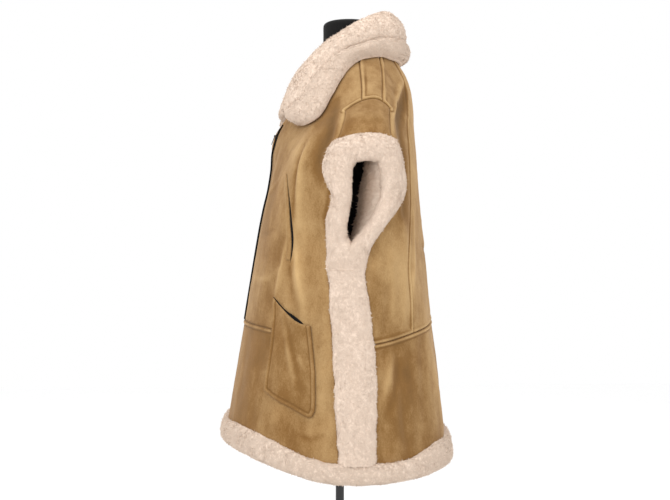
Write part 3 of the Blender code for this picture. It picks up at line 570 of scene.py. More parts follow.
def seam_profile(from_seam):
    """Height and shade beside a stitched seam: the raised allowance with a painted highlight, then the trough
    of the stitching with painted shade.
    """
    trough = ALLOWANCE + 0.0010
    height = LAP_HIGH * smooth(0.0, 0.0020, from_seam) * (1 - smooth(ALLOWANCE - 0.0015, trough, from_seam))
    height = height - TROUGH_DEEP * np.exp(-((from_seam - trough) / TROUGH_HALF) ** 2)
    shade = (0.20 * np.exp(-((from_seam - 0.0042) / 0.0026) ** 2)
             - 0.28 * np.exp(-((from_seam - trough) / TROUGH_HALF) ** 2))
    return height, shade


def panel_size(cells):
    """Longest arcs of the bell's grid across and down the cells."""
    columns, rows = np.unique(cells[:, 0]), np.unique(cells[:, 1])
    grid = bell_point(ANGLES, LEVELS)
    wide = np.linalg.norm(np.diff(grid, axis=0), axis=2)[columns].sum(axis=0)[rows].max()
    long = np.linalg.norm(np.diff(grid, axis=1), axis=2)[:, rows].sum(axis=1)[columns].max()
    return wide, long


def suede_panel(node, side, mask, tone, look, stitched=(), slit=False):
    """Wall of hide over the masked cells: worn outer skin, plain inner skin, rims rounded over and pulled in.

    Beside a stitched seam the hide is turned under and so stands higher for the width of its allowance. Its
    colour holds painted shade along folds, in stitched troughs and at the rims, and painted highlights on
    ridges.
    """
    cells, quads, i, j = panel_cells(mask, side)
    angle, level = ANGLES[i, j], LEVELS[i, j]
    behind = node.startswith("side")
    if slit:
        princess = read(SEAMS, SEAM_COLUMNS, "princess", level)
        apart = slit_turn(level) * np.exp(-((angle - princess) / 5.0) ** 2)
        angle = angle + (apart if behind else -apart)
    base, normal = bell_point(angle, level), bell_normal(angle, level)
    start, end, pull = rim_edges(base, quads)
    flush = (i == COLUMN["side_front"]) & ((level > SLIT[1]) | (level < SLIT[0]))
    on_rim = np.unique(np.concatenate([start, end]))
    on_rim = on_rim[~flush[on_rim]]
    base[on_rim] += unit(pull[on_rim]) * (SEAM_GAP / 2)
    gap = nearest(base, base[on_rim])
    princess = read(SEAMS, SEAM_COLUMNS, "princess", level)
    beside = np.exp(-((angle - princess) / 4.0) ** 2) * (node[:5] in ("side_", "front"))
    tone = tone + (-SOFTEN if behind else SOFTEN) * beside
    cut = beside * (level > SLIT[0]) * (level < SLIT[1])
    worn, shade = suede_relief(angle, level, base)
    height = worn * smooth(0.0, RELIEF_FADES, gap) + swell_height(angle * side, level)
    lines = {COLUMN[name] for name in stitched if name in COLUMN}
    levels = {ROW[name] for name in stitched if name in ROW}
    sewn = on_rim[np.isin(i[on_rim], list(lines)) | np.isin(j[on_rim], list(levels))]
    if len(sewn):
        # painted highlight on the allowance and painted shade in its trough
        raised, darker = seam_profile(nearest(base, base[sewn]))
        height, shade = height + raised, shade + darker
    height -= RIM_DROP * (1 - smooth(0.0, RIM_REACH, gap)) * (1 - 0.7 * cut)
    shade -= RIM_SHADE * (1 - smooth(0.0, RIM_DARK, gap)) * (1 - cut)
    height = np.maximum(height, -DEEPEST) + 0.2 * np.minimum(height + DEEPEST, 0.0)
    flip = np.array([side, 1.0, 1.0])
    outer, inner = (base + normal * height[:, None]) * flip, (base - normal * HIDE) * flip
    count = len(base)
    walls = np.stack([end, start, start + count, end + count], axis=1)
    faces = np.concatenate([quads, quads[:, ::-1] + count, walls])
    values = {"tone": np.concatenate([tone + shade, tone + shade]),
              # raised relief paler where rubbed, hollows darker as painted shade
              "rub": np.concatenate([worn, np.full(count, -0.003)]) / 0.004,
              "inside": np.concatenate([np.zeros(count), np.ones(count)])}
    facing = unit(np.cross(outer[quads[:, 2]] - outer[quads[:, 0]], outer[quads[:, 3]] - outer[quads[:, 1]]))
    shading = np.zeros_like(outer)
    for corner in quads.T:
        np.add.at(shading, corner, facing)
    shading = unit(shading)
    piece = new_mesh(node + "_suede", np.concatenate([outer, inner]), faces, values=values,
                     normals=np.concatenate([shading, -shading]))
    finish_piece(piece, look, (node,))
    sides = outer[quads[:, 1]] - outer[quads[:, 0]], outer[quads[:, 2]] - outer[quads[:, 1]]
    wide, long = panel_size(cells)
    return piece


# ---- shader trees --------------------------------------------------------------------------------
class Wire:
    """A socket of a shader tree; arithmetic on it, with numbers or other wires, adds Math nodes."""

    def __init__(self, tree, socket):
        self.tree, self.socket = tree, socket

    def math(self, operation, *values):
        """Math node on the given wires and numbers."""
        return self.tree.node("Math", {"operation": operation}, dict(enumerate(values)))

    def __add__(self, other):
        return self.math("ADD", self, other)

    def __radd__(self, other):
        return self.math("ADD", other, self)

    def __sub__(self, other):
        return self.math("SUBTRACT", self, other)

    def __rsub__(self, other):
        return self.math("SUBTRACT", other, self)

    def __mul__(self, other):
        return self.math("MULTIPLY", self, other)

    def __rmul__(self, other):
        return self.math("MULTIPLY", other, self)

    def clip(self):
        """The wire held between 0 and 1."""
        return self.math("MINIMUM", self.math("MAXIMUM", self, 0.0), 1.0)


class Finish:
    """A material and its tree of shader nodes."""

    def __init__(self, name):
        self.material = bpy.data.materials.new(name)
        self.material.use_nodes = True
        self.nodes, self.links = self.material.node_tree.nodes, self.material.node_tree.links
        self.nodes.clear()

    def node(self, kind, settings=None, values=None, out=0):
        """New shader node with its settings, and its sockets set to values or joined to wires."""
        made = self.nodes.new("ShaderNode" + kind)
        for key, value in (settings or {}).items():
            if key == "stops":
                ramp = made.color_ramp.elements
                while len(ramp) < len(value):
                    ramp.new(0.5)
                for stop, (place, colour) in zip(ramp, value):
                    stop.position, stop.color = place, tuple(colour) + (1.0,)
            else:
                setattr(made, key, value)
        for key, value in (values or {}).items():
            if isinstance(value, Wire):
                self.links.new(value.socket, made.inputs[key])
            elif hasattr(value, "__len__") and made.inputs[key].type == "RGBA":
                made.inputs[key].default_value = tuple(value)[:3] + (1.0,)
            else:
                made.inputs[key].default_value = value
        return Wire(self, made.outputs[out]) if made.outputs else made

    def place(self):
        """The object's own coordinates."""
        return self.node("TexCoord", out="Object")

    def value(self, name):
        """A value that the mesh holds at its points."""
        return self.node("Attribute", {"attribute_name": name}, out="Fac")

    def speckle(self, scale, detail=2.0, rough=0.5, stretch=(1, 1, 1), place=None):
        """Noise from 0 to 1 on the object's own coordinates, scale in cycles for each metre."""
        place = place or self.place()
        if stretch != (1, 1, 1):
            place = self.node("VectorMath", {"operation": "MULTIPLY"}, {0: place, 1: stretch})
        return self.node("TexNoise", {"noise_dimensions": "3D"},
                         {"Vector": place, "Scale": scale, "Detail": detail, "Roughness": rough}, out="Fac")

    def mix(self, share, low, high, kind="MIX"):
        """Colour mix: low at share 0, high at share 1."""
        return self.node("Mix", {"data_type": "RGBA", "blend_type": kind}, {0: share, 6: low, 7: high},
                         out=2)

    def bump(self, height, distance, strength=1.0, below=None):
        """Normal roughened by a height, which distance turns into metres, on top of another bump."""
        values = {"Height": height, "Distance": distance, "Strength": strength}
        if below is not None:
            values["Normal"] = below
        return self.node("Bump", values=values, out="Normal")

    def surface(self, **values):
        """Principled shader with the given sockets, named with _ for a space, and the material's output."""
        shader = self.node("BsdfPrincipled", values={key.replace("_", " "): value
                                                     for key, value in values.items()})
        self.node("OutputMaterial", values={"Surface": shader})
        return self.material


def linear(rgb):
    """Linear colour of an sRGB one given in 0 to 255."""
    share = np.array(rgb) / 255.0
    return tuple(float(c) for c in np.where(share <= 0.04045, share / 12.92,
                                            ((share + 0.055) / 1.055) ** 2.4))


def suede_finish(light, dark):
    """Brushed suede: nap in two shades, paler on raised relief where it is rubbed and darker in its hollows
    as painted shade, and wool on its inner side.
    """
    look = Finish("Suede")
    place = look.place()
    cloud = look.speckle(9.0, 3.0, 0.55, place=place)
    brushed = look.speckle(38.0, 4.0, 0.6, (1.0, 1.0, 0.45), place)
    nap = look.speckle(520.0, 3.0, 0.7, (1.0, 1.0, 0.6), place)
    mottle = look.speckle(120.0, 3.0, 0.6, place=place)
    grain = look.speckle(1500.0, 2.0, 0.6, place=place)
    # rub: worn ridges paler, and painted shade in hollows, grooves and at rims
    rub = look.value("rub")
    tone = (look.value("tone") + (cloud - 0.5) * 0.30 + (brushed - 0.5) * 0.36 + (mottle - 0.5) * 0.12
            + rub * 0.07
            + (nap - 0.5) * 0.36 + (grain - 0.5) * 0.20).clip()
    middle = tuple((a + b) / 2 for a, b in zip(light, dark))
    colour = look.node("ValToRGB", {"stops": ((0.0, tuple(c * 0.62 for c in dark)), (0.35, dark),
                                              (0.62, middle),
                                              (1.0, light))}, {0: tone})
    wool = look.mix(look.speckle(160.0, 3.0, 0.6, place=place), linear((150, 124, 102)),
                    linear((206, 186, 166)))
    warm = ((look.speckle(7.0, 3.0, 0.6, place=place) - 0.46) * 3.0).clip() * 0.55
    colour = look.mix(look.value("inside"), look.mix(warm, colour, (1.0, 0.90, 0.76), "MULTIPLY"), wool)
    fine = look.bump(nap * 0.7 + grain * 0.3, 0.0006, 0.55)
    soft = look.bump(brushed, 0.0022, 0.5, fine)
    return look.surface(Base_Color=colour, Roughness=0.94 - 0.10 * nap, Normal=soft, Specular_IOR_Level=0.22,
                        Sheen_Weight=0.32, Sheen_Roughness=0.45, Sheen_Tint=linear((236, 205, 168)) + (1.0,))


def wool_finish(name, light, dark, root):
    """Sheep's wool: tone runs from the root's shade (0) to the tips (1); tones below the roots' 0.25 paint
    the shade deep in the armhole's lining.
    """
    look = Finish(name)
    place = look.place()
    cloud = look.speckle(22.0, 3.0, 0.55, place=place)
    strands = look.speckle(900.0, 3.0, 0.65, place=place)
    tone = (look.value("tone") + (cloud - 0.5) * 0.20 + (strands - 0.5) * 0.12).clip()
    colour = look.node("ValToRGB", {"stops": ((0.0, tuple(c * 0.55 for c in root)), (0.25, root),
                                              (0.5, dark), (1.0, light))}, {0: tone})
    rough = look.bump(strands, 0.0007, 0.5)
    return look.surface(Base_Color=colour, Roughness=0.97 - 0.05 * strands, Normal=rough,
                        Specular_IOR_Level=0.15,
                        Sheen_Weight=0.12, Sheen_Roughness=0.5, Sheen_Tint=linear((255, 236, 222)) + (1.0,))


def jersey_finish():
    """Fine black knit of the dress form: small slanted loops over a faint mottle."""
    look = Finish("Form jersey")
    place = look.place()
    loops = look.node("TexWave", {"wave_type": "BANDS", "bands_direction": "Z", "wave_profile": "SIN"},
                      {"Vector": place, "Scale": 260.0, "Distortion": 1.5, "Detail": 1.0,
                       "Detail Scale": 60.0}, out="Fac")
    lint = look.speckle(700.0, 2.0, 0.6, place=place)
    colour = look.mix((lint * 0.6 + loops * 0.3).clip(), linear((7, 7, 7)), linear((24, 23, 22)))
    return look.surface(Base_Color=colour, Roughness=0.86 - 0.08 * lint,
                        Normal=look.bump(loops * 0.6 + lint * 0.4, 0.0005, 0.5),
                        Specular_IOR_Level=0.18, Sheen_Weight=0.03, Sheen_Roughness=0.4)


def painted_finish(name, shade, roughness, metallic):
    """Black lacquer or metal with a fine orange-peel and faint wear in its gloss."""
    look = Finish(name)
    place = look.place()
    peel = look.speckle(420.0, 2.0, 0.5, place=place)
    wear = look.speckle(14.0, 3.0, 0.6, place=place)
    colour = look.mix(wear, tuple(c * 0.8 for c in shade), tuple(c * 1.3 + 0.002 for c in shade))
    return look.surface(Base_Color=colour, Roughness=roughness + 0.16 * (wear - 0.5), Metallic=metallic,
                        Normal=look.bump(peel, 0.0002, 0.25), Specular_IOR_Level=0.5)


def tape_finish():
    """Woven black zip tape: a fine twill of ribs."""
    look = Finish("Zip tape")
    place = look.place()
    ribs = look.node("TexWave", {"wave_type": "BANDS", "bands_direction": "DIAGONAL", "wave_profile": "SIN"},
                     {"Vector": place, "Scale": 420.0, "Distortion": 0.5}, out="Fac")
    return look.surface(Base_Color=look.mix(ribs, linear((5, 4, 4)), linear((15, 13, 12))),
                        Roughness=0.85 - 0.1 * ribs,
                        Normal=look.bump(ribs, 0.0004, 0.6), Specular_IOR_Level=0.15)


# ---- wool ----------------------------------------------------------------------------------------
COLLAR_COLUMNS = ("angle", "top_x", "top_y", "top_z", "edge_angle", "edge_level")
COLLAR = (
    (4.0, 0.014, -0.121, 1.302, 40.0, 0.152),
    (20.0, 0.040, -0.113, 1.346, 53.0, 0.170),
    (45.0, 0.068, -0.083, 1.392, 65.0, 0.110),
    (80.0, 0.083, -0.020, 1.447, 80.0, 0.024),
    (112.0, 0.078, 0.048, 1.485, 107.0, 0.006),
    (146.0, 0.052, 0.098, 1.504, 142.0, 0.020),
    (180.0, 0.000, 0.125, 1.508, 180.0, 0.030),
)
COLLAR_WALL = 0.013
LOOSE = 0.07            # share of locks that stand up from the others
LOCK_HALF = 0.00145     # half width of a lock of wool at its foot
LOCK_SUNK = 0.0008      # how deep its foot lies in the roll
COMB = (0.0, 0.0, -0.35)    # way in which the wool is combed
# painted light: the feet are paler than the tip, against the shade among the locks
FOOT_PAINTED_LIGHT = (0.06, 0.06, 0.06, 0.0)      # tone added at the three points of a foot and at the tip
SHADING_OUT = (2.0, 2.0, 0.8, 0.8)      # share of the roll's normal in the shading of a lock's four triangles
# number of locks on each roll
LOCK_COUNTS = {"collar": 23000, "collar_edge": 20000, "hem": 21500, "band": 10000, "lining": 2500,
               "cuff": 13500}
CREASE_AT = 0.58
FALL_CLEAR = 0.0055
SIDES = ((1, "L"), (-1, "R"))


def loop_spline(rings, cells):
    """Closed Catmull-Rom curve through each ring's points: [ring, point, 3] to [ring, point * cells, 3]."""
    t = (np.arange(cells) / cells)[None, None, :, None]
    before, here, after, beyond = (np.roll(rings, k, axis=1)[:, :, None] for k in (1, 0, -1, -2))
    curve = 0.5 * (2 * here + (after - before) * t + (2 * before - 5 * here + 4 * after - beyond) * t ** 2
                   + (3 * here - before - 3 * after + beyond) * t ** 3)
    return curve.reshape(len(rings), -1, 3)


def rounded_ends(rings, radius):
    """Rings that shrink towards their middles near both ends, as a half circle of that radius does."""
    middle = rings.mean(axis=1)
    along = np.concatenate([[0.0], np.cumsum(np.linalg.norm(np.diff(middle, axis=0), axis=1))])
    near = np.minimum(along, along[-1] - along)
    share = np.sqrt(np.clip(1 - np.clip(1 - near / radius, 0, 1) ** 2, 0.0009, 1))
    return middle[:, None] + (rings - middle[:, None]) * share[:, None, None]


def ring_normals(rings, closed):
    """Unit normals of a tube of rings from central differences, leaving each ring's middle."""
    if closed:
        along = np.roll(rings, -1, axis=0) - np.roll(rings, 1, axis=0)
    else:
        along = np.gradient(rings, axis=0)
    normal = unit(np.cross(along, np.roll(rings, -1, axis=1) - np.roll(rings, 1, axis=1)))
    out = (normal * (rings - rings.mean(axis=1, keepdims=True))).sum() < 0
    return (-normal if out else normal), bool(out)


def fleece_lumps(points):
    """Height of soft clipped wool: swells 45 mm and 18 mm wide, and clumps 8 mm wide."""
    return (0.0013 * noise(points, 0.045, 11) + 0.0008 * noise(points, 0.018, 12)
            + 0.0005 * (curls(points, 0.0080, 13) - 0.4))


def fleece_tube(name, rings, closed, look, replaced):
    """Closed surface of wool over rings, painted paler than the locks against the shade between them; gives
    back its lumpy rings and their normals, for the locks.
    """
    normal, turned_in = ring_normals(rings, closed)
    rings = rings + normal * fleece_lumps(rings)[..., None]
    count, size = rings.shape[:2]
    row = np.arange(count if closed else count - 1)[:, None]
    column = np.arange(size)[None, :]
    here, there = row * size, (row + 1) % count * size
    after = (column + 1) % size
    quads = np.stack([here + column, here + after, there + after, there + column], axis=-1).reshape(-1, 4)
    points, triangles = rings.reshape(-1, 3), None
    if not closed:
        poles = rings[[0, -1]].mean(axis=1)
        points = np.concatenate([points, poles])
        k = np.arange(size)
        first = np.stack([np.full(size, len(points) - 2), (k + 1) % size, k], axis=1)
        last = np.stack([np.full(size, len(points) - 1), (count - 1) * size + k,
                         (count - 1) * size + (k + 1) % size], axis=1)
        triangles = np.concatenate([first, last])
    if turned_in:
        quads = quads[:, ::-1]
        triangles = None if triangles is None else triangles[:, ::-1]
    if triangles is not None:
        triangles = triangles[:, ::-1]
    # tone 0.80, paler than the locks: painted light that offsets the shade between them
    piece = new_mesh(name, points, quads[:, ::-1], triangles, values={"tone": np.full(len(points), 0.80)})
    finish_piece(piece, look, replaced)
    return rings, normal


def grown(rings, first, last, elsewhere=0.0):
    """Share of locks at each point of the rings: 1 from the first place round a ring to the last."""
    keep = np.full(rings.shape[:2], elsewhere)
    keep[:, first:last] = 1.0
    return keep


def locks(name, rings, normal, keep, count, look, seed, long=0.004, closed=True, shade=0.58):
    """Locks of wool on the tube: flat spikes of four triangles from root to root + way * reach.

    Roots are spread by area over the kept cells and sunk a little. Ways lean with the comb and with noise,
    so neighbours lie together.
    """
    chance = np.random.default_rng(seed)
    across = np.roll(rings, -1, axis=1) - rings
    along = (np.roll(rings, -1, axis=0) if closed else np.concatenate([rings[1:], rings[-1:]])) - rings
    area = np.linalg.norm(np.cross(across, along), axis=-1) * keep
    cell = chance.choice(area.size, size=count, p=(area / area.sum()).ravel())
    u, v = chance.random(count)[:, None], chance.random(count)[:, None]
    root = rings.reshape(-1, 3)[cell] + across.reshape(-1, 3)[cell] * u + along.reshape(-1, 3)[cell] * v
    out = normal.reshape(-1, 3)[cell]
    drift = np.stack([noise(root, 0.012, seed + k) for k in (1, 2, 3)], axis=1)
    lean = np.array(COMB) + 0.5 * drift + 1.1 * (chance.random((count, 3)) - 0.5)
    loose = (chance.random(count) < LOOSE)[:, None]
    lean = unit(lean - out * (lean * out).sum(axis=1, keepdims=True))
    way = unit(np.where(loose, 1.0, 0.36) * out + np.where(loose, 0.6, 1.0) * lean)
    reach = long * (0.80 + 0.5 * chance.random(count))[:, None]
    side = unit(np.cross(way, out))
    girth = LOCK_HALF * (0.8 + 0.5 * chance.random(count))[:, None]
    sunk = root - out * LOCK_SUNK
    back = sunk + (out - way * 0.4) * girth * 0.75
    foot = np.stack([sunk + side * girth, sunk - side * girth, back], axis=1)
    points = np.concatenate([foot, (root + way * reach)[:, None]], axis=1)
    corners = np.array([(1, 2, 3), (2, 0, 3), (0, 1, 3), (0, 2, 1)])
    face = points[:, corners]
    facing = unit(np.cross(face[:, :, 1] - face[:, :, 0], face[:, :, 2] - face[:, :, 0]))
    from_middle = face.mean(axis=2) - points.mean(axis=1)[:, None]
    facing *= np.sign((from_middle * facing).sum(axis=-1, keepdims=True))
    shading = unit(np.array(SHADING_OUT)[None, :, None] * out[:, None] + facing)
    shading = np.repeat(shading.reshape(-1, 3), 3, axis=0)
    triangles = corners[None] + (np.arange(count) * 4)[:, None, None]
    tone = np.broadcast_to(shade, keep.shape).ravel()[cell]
    tone = tone + 0.06 * chance.random(count) + 0.04 * noise(root, 0.03, seed + 5)
    tone = tone[:, None] + np.array(FOOT_PAINTED_LIGHT)[None]
    made = new_mesh(name, points.reshape(-1, 3), np.zeros((0, 4)), triangles.reshape(-1, 3),
                    {"tone": tone.ravel()}, shading)
    finish_piece(made, look)
    return made


def collar_places(cells):
    """Named points across the collar for each place round the neck: stand, roll, fall, crease and edge."""
    angles = COLLAR[0][0] + (360.0 - 2 * COLLAR[0][0]) * np.concatenate([[0.0], eased(cells)])
    half = np.where(angles <= 180.0, angles, 360.0 - angles)
    side = np.where(angles <= 180.0, 1.0, -1.0)
    flip = np.stack([side, np.ones_like(side), np.ones_like(side)], axis=1)
    up = np.array([0.0, 0.0, 1.0])
    top = np.stack([read(COLLAR, COLLAR_COLUMNS, name, half) for name in ("top_x", "top_y", "top_z")], axis=1)
    edge_angle = read(COLLAR, COLLAR_COLUMNS, "edge_angle", half)
    edge_level = read(COLLAR, COLLAR_COLUMNS, "edge_level", half)
    foot_in = bell(half, 0.0, -0.011) + up * 0.001
    foot_out = bell(half, 0.0, 0.002) + up * 0.001
    edge_in = bell(edge_angle, edge_level, 0.0014)
    edge_out = bell(edge_angle, edge_level, COLLAR_WALL + 0.002 + 0.007 * smooth(95.0, 150.0, half))
    out = top - np.array([0.0, NECK_CENTRE_Y, 0.0])
    out[:, 2] = 0.0
    out = unit(out)
    fall = unit(edge_out - top)
    face = unit(out - fall * (out * fall).sum(axis=1, keepdims=True))
    shoulder, crown = top - out * 0.021 - up * 0.006, top - out * 0.010 + up * 0.003
    roof = top - out * 0.0105 - up * 0.014
    back = smooth(50.0, 95.0, half)[:, None]
    at = CREASE_AT + 0.07 * back
    crease = top + (edge_out - top) * at + face * (0.0105 - 0.0070 * back)
    roof_crease = roof + (edge_in - roof) * at
    over_angle, over_level = half + (edge_angle - half) * at[:, 0], edge_level * at[:, 0]
    coat, normal = bell(over_angle, over_level), bell_normal(over_angle, over_level)
    short = np.clip(FALL_CLEAR - ((roof_crease - coat) * normal).sum(axis=1, keepdims=True), 0.0, None)
    crease, roof_crease = crease + normal * short, roof_crease + normal * short
    places = {
        "foot_in": foot_in,
        "stand_in": (foot_in + shoulder) / 2,
        "shoulder": shoulder,
        "crown": crown,
        "top": top,
        "swell": top + (crease - top) * 0.35 + face * 0.011,
        "swell_low": top + (crease - top) * 0.75 + face * 0.010,
        "crease": crease,
        "edge_high": crease + (edge_out - crease) * 0.22 + face * 0.009,
        "edge_swell": crease + (edge_out - crease) * 0.60 + face * 0.010,
        "edge_out": edge_out + face * 0.002,
        "edge_in": edge_in,
        "roof_crease": roof_crease,
        "roof": roof,
        "foot_out": foot_out,
    }
    return {name: value * flip for name, value in places.items()}


def build_collar(look, lock_look, long):
    """Standing part of the collar and its falling edge, each a roll with its locks on the sides that show."""
    place = collar_places(180)
    names = ("foot_in", "stand_in", "shoulder", "crown", "top", "swell", "swell_low", "crease",
             "roof_crease", "roof", "foot_out")
    body = rounded_ends(loop_spline(np.stack([place[n] for n in names], axis=1), 4), 0.012)
    rings, normal = fleece_tube("collar_wool", body, False, look, ("collar",))
    locks("collar_locks", rings, normal, grown(rings, 0, 30), LOCK_COUNTS["collar"], lock_look, 21, long,
          closed=False, shade=0.55)
    names = ("edge_in", "edge_out", "edge_swell", "edge_high", "crease", "roof_crease")
    edge = rounded_ends(loop_spline(np.stack([place[n] for n in names], axis=1), 6), 0.020)
    rings, normal = fleece_tube("collar_edge_wool", edge, False, look, ("collar_edge",))
    locks("collar_edge_locks", rings, normal, grown(rings, 3, 26), LOCK_COUNTS["collar_edge"], lock_look, 22,
          long, closed=False, shade=0.52)


# hem's section: share of the way from the suede's edge to the underside, and lift
HEM_SECTION = ((-0.04, 0.002), (0.08, 0.009), (0.35, 0.0115), (0.65, 0.0105), (0.86, 0.007), (0.97, 0.001),
               (1.0, -0.006), (0.95, -0.012), (0.80, -0.0155), (0.50, -0.016), (0.15, -0.013), (0.0, -0.007))


def hem_rings(cells):
    """Roll of the hem: level and lift run round a closed section that hangs from the suede's edge."""
    angle = np.arange(cells) * 360.0 / cells
    half = np.where(angle > 180.0, 360.0 - angle, angle)
    flip = np.stack([np.where(angle > 180.0, -1.0, 1.0), np.ones(cells), np.ones(cells)], axis=1)
    top = 1.0 + hang(half, 1.0)
    around = [bell(half, top + (1.10 - top) * down, lift) * flip for down, lift in HEM_SECTION]
    return np.stack(around, axis=1)


def build_hem(look, lock_look, long):
    """Hem's roll in one piece, with its locks in a left and a right half; few grow on its inner side."""
    names = ["hem_fur_" + part + "_" + tag for part in ("front", "side", "back") for _, tag in SIDES]
    rings = loop_spline(hem_rings(420), 3)
    rings, normal = fleece_tube("hem_wool", rings, True, look, names)
    keep = grown(rings, 0, 22, 0.22)
    half = len(rings) // 2
    for part, name in ((slice(0, half), "hem_locks_L"), (slice(half, None), "hem_locks_R")):
        mask = np.zeros_like(keep)
        mask[part] = keep[part]
        seed = 23 if part.start == 0 else 24
        locks(name, rings, normal, mask, LOCK_COUNTS["hem"], lock_look, seed, long, shade=0.48)


# side band's section: share of the way between its two seams, and lift
BAND_SECTION = ((0.0, -0.004), (0.02, 0.003), (0.12, 0.0078), (0.35, 0.0112), (0.65, 0.0112), (0.88, 0.0078),
                (0.98, 0.003), (1.0, -0.004), (0.97, -0.010), (0.5, -0.010), (0.03, -0.010))


def build_bands(look, lock_look, long):
    """Side bands: rounded strips that run from the cuff down to the hem between the two side seams."""
    level = 0.540 + 0.470 * np.concatenate([[0.0], eased(110)])
    front, back = (read(SEAMS, SEAM_COLUMNS, name, level) for name in ("arm_front", "arm_back"))
    run = level[:, None] * np.array([1.0, 0.0, 0.0])
    front, back = front - 0.45 + 0.45 * noise(run, 0.022, 15), back + 0.45 + 0.45 * noise(run, 0.026, 16)
    for side, tag in SIDES:
        around = [bell(front + (back - front) * share, level, lift) for share, lift in BAND_SECTION]
        rings = loop_spline(np.stack(around, axis=1) * np.array([side, 1.0, 1.0]), 4)
        rings, normal = fleece_tube("side_band_wool_" + tag, rings, False, look, ("side_band_" + tag,))
        locks("side_band_locks_" + tag, rings, normal, grown(rings, 1, 29), LOCK_COUNTS["band"], lock_look,
              30 + side, long, closed=False)


# rim of the hole in the cuff: angle and level on the bell
HOLE_MIDDLE = (90.0, 0.410)
HOLE_SPREAD = (25.0, 0.15)
HOLE = (
    (104.5, 0.385), (103.5, 0.405), (99.5, 0.433), (93.5, 0.462), (88.5, 0.485), (83.8, 0.505),
    (81.2, 0.492), (80.8, 0.468), (81.5, 0.440), (82.3, 0.410), (82.5, 0.375), (82.0, 0.345),
    (84.0, 0.334), (90.0, 0.332), (96.5, 0.332), (101.5, 0.334), (103.8, 0.356),
)

# wool seen through the hole: angle and level at the hole's back rim, then where the form hides it
LINING = (
    (101.5, 0.326, 93.6, 0.322), (103.6, 0.345, 92.4, 0.340), (105.2, 0.380, 90.4, 0.372),
    (104.2, 0.403, 89.0, 0.400), (100.5, 0.433, 88.0, 0.430), (94.5, 0.463, 87.0, 0.458),
    (89.5, 0.487, 85.5, 0.482), (85.0, 0.506, 83.5, 0.500),
)

# cuff's section: share of the way from the armhole's edge to the hole's rim, lift, how much it meets the band
CUFF_SECTION = ((-0.04, 0.001, 1.0), (0.03, 0.0075, 1.0), (0.20, 0.0140, 0.7), (0.45, 0.0175, 0.3),
                (0.75, 0.0150, 0.0), (0.95, 0.0065, 0.0), (1.0, -0.005, 0.0), (0.92, -0.0135, 0.0),
                (0.50, -0.015, 0.0), (0.12, -0.012, 0.0), (0.01, -0.007, 0.0))


def hole_direction(angle, level):
    """Direction in degrees from the hole's middle, its spreads taken as equal."""
    return np.degrees(np.arctan2((level - HOLE_MIDDLE[1]) / HOLE_SPREAD[1],
                                 (angle - HOLE_MIDDLE[0]) / HOLE_SPREAD[0]))


def cuff_rings(side):
    """Ring of wool round the armhole: from the armhole's edge in to the hole, over and back inside."""
    left, right, top, bottom = COLUMN["arm_front"], COLUMN["side_back"], ROW["armhole"], ROW["chest"]
    loop = [(i, top) for i in range(left, right)] + [(right, j) for j in range(top, bottom)]
    loop += [(i, bottom) for i in range(right, left, -1)] + [(left, j) for j in range(bottom, top, -1)]
    i, j = np.array(loop).T
    angle, level = ANGLES[i, j], LEVELS[i, j]
    rim_angles, rim_levels = np.array(HOLE).T
    turn, places = hole_direction(angle, level), hole_direction(rim_angles, rim_levels)
    rim_angle = np.interp(turn, places, rim_angles, period=360.0)
    rim_level = np.interp(turn, places, rim_levels, period=360.0)
    flip = np.array([side, 1.0, 1.0])
    front, back = (read(SEAMS, SEAM_COLUMNS, name, level) for name in ("arm_front", "arm_back"))
    across = np.clip((angle - front) / (back - front), 0.06, 0.94)
    band, joined = np.interp(across, *np.array(BAND_SECTION[:8]).T), smooth(0.530, 0.556, level)
    rings = []
    for share, lift, meet in CUFF_SECTION:
        rise = lift + (band + 0.0006 - lift) * joined * meet
        turned, lowered = angle + (rim_angle - angle) * share, level + (rim_level - level) * share
        rings.append(bell(turned, lowered, rise) * flip)
    return np.stack(rings, axis=1)


def build_lining(look, lock_look, long, side, tag):
    """Wool of the back's inner side, from the hole's back rim in and forward until the form hides it, painted
    darker further in as shade.
    """
    share, place = np.linspace(0.0, 1.0, 18), np.linspace(0.0, 1.0, 44)
    knots = np.linspace(0.0, 1.0, len(LINING))
    rim_angle, rim_level, deep_angle, deep_level = (np.interp(place, knots, column)
                                                    for column in np.array(LINING).T)
    u = share[:, None]
    angle, level = rim_angle + (deep_angle - rim_angle) * u, rim_level + (deep_level - rim_level) * u
    points = bell(angle, level, -0.010 - 0.050 * u ** 1.3) * np.array([side, 1.0, 1.0])
    points += 0.002 * noise(points, 0.012, 17)[..., None]
    normal = unit(np.cross(np.gradient(points, axis=0), np.gradient(points, axis=1)))
    normal *= np.sign(normal[..., :1].mean() * side)
    # the tone falls from the rim inwards: painted shade deeper in the armhole
    tone = np.broadcast_to(0.58 - 0.55 * u ** 0.7, angle.shape)
    piece = wall("cuff_lining_" + tag, points, points - normal * 0.006, {"tone": tone}, look)
    cut_sheet(points)
    keep = np.ones(angle.shape)
    keep[:, -1] = keep[-1] = 0.0
    # its locks carry the same painted shade
    locks("cuff_lining_locks_" + tag, points, normal, keep, LOCK_COUNTS["lining"], lock_look, 50 + side,
          1.5 * long, closed=False, shade=0.58 - 0.55 * u ** 0.7)


def build_cuffs(look, lock_look, long):
    """Ring of wool round each armhole, and the lining seen through it."""
    for side, tag in SIDES:
        build_lining(look, lock_look, long, side, tag)
        rings = loop_spline(cuff_rings(side), 4)
        rings, normal = fleece_tube("cuff_wool_" + tag, rings, True, look, ("cuff_fur_" + tag,))
        locks("cuff_locks_" + tag, rings, normal, grown(rings, 1, 34), LOCK_COUNTS["cuff"], lock_look,
              40 + side, long)


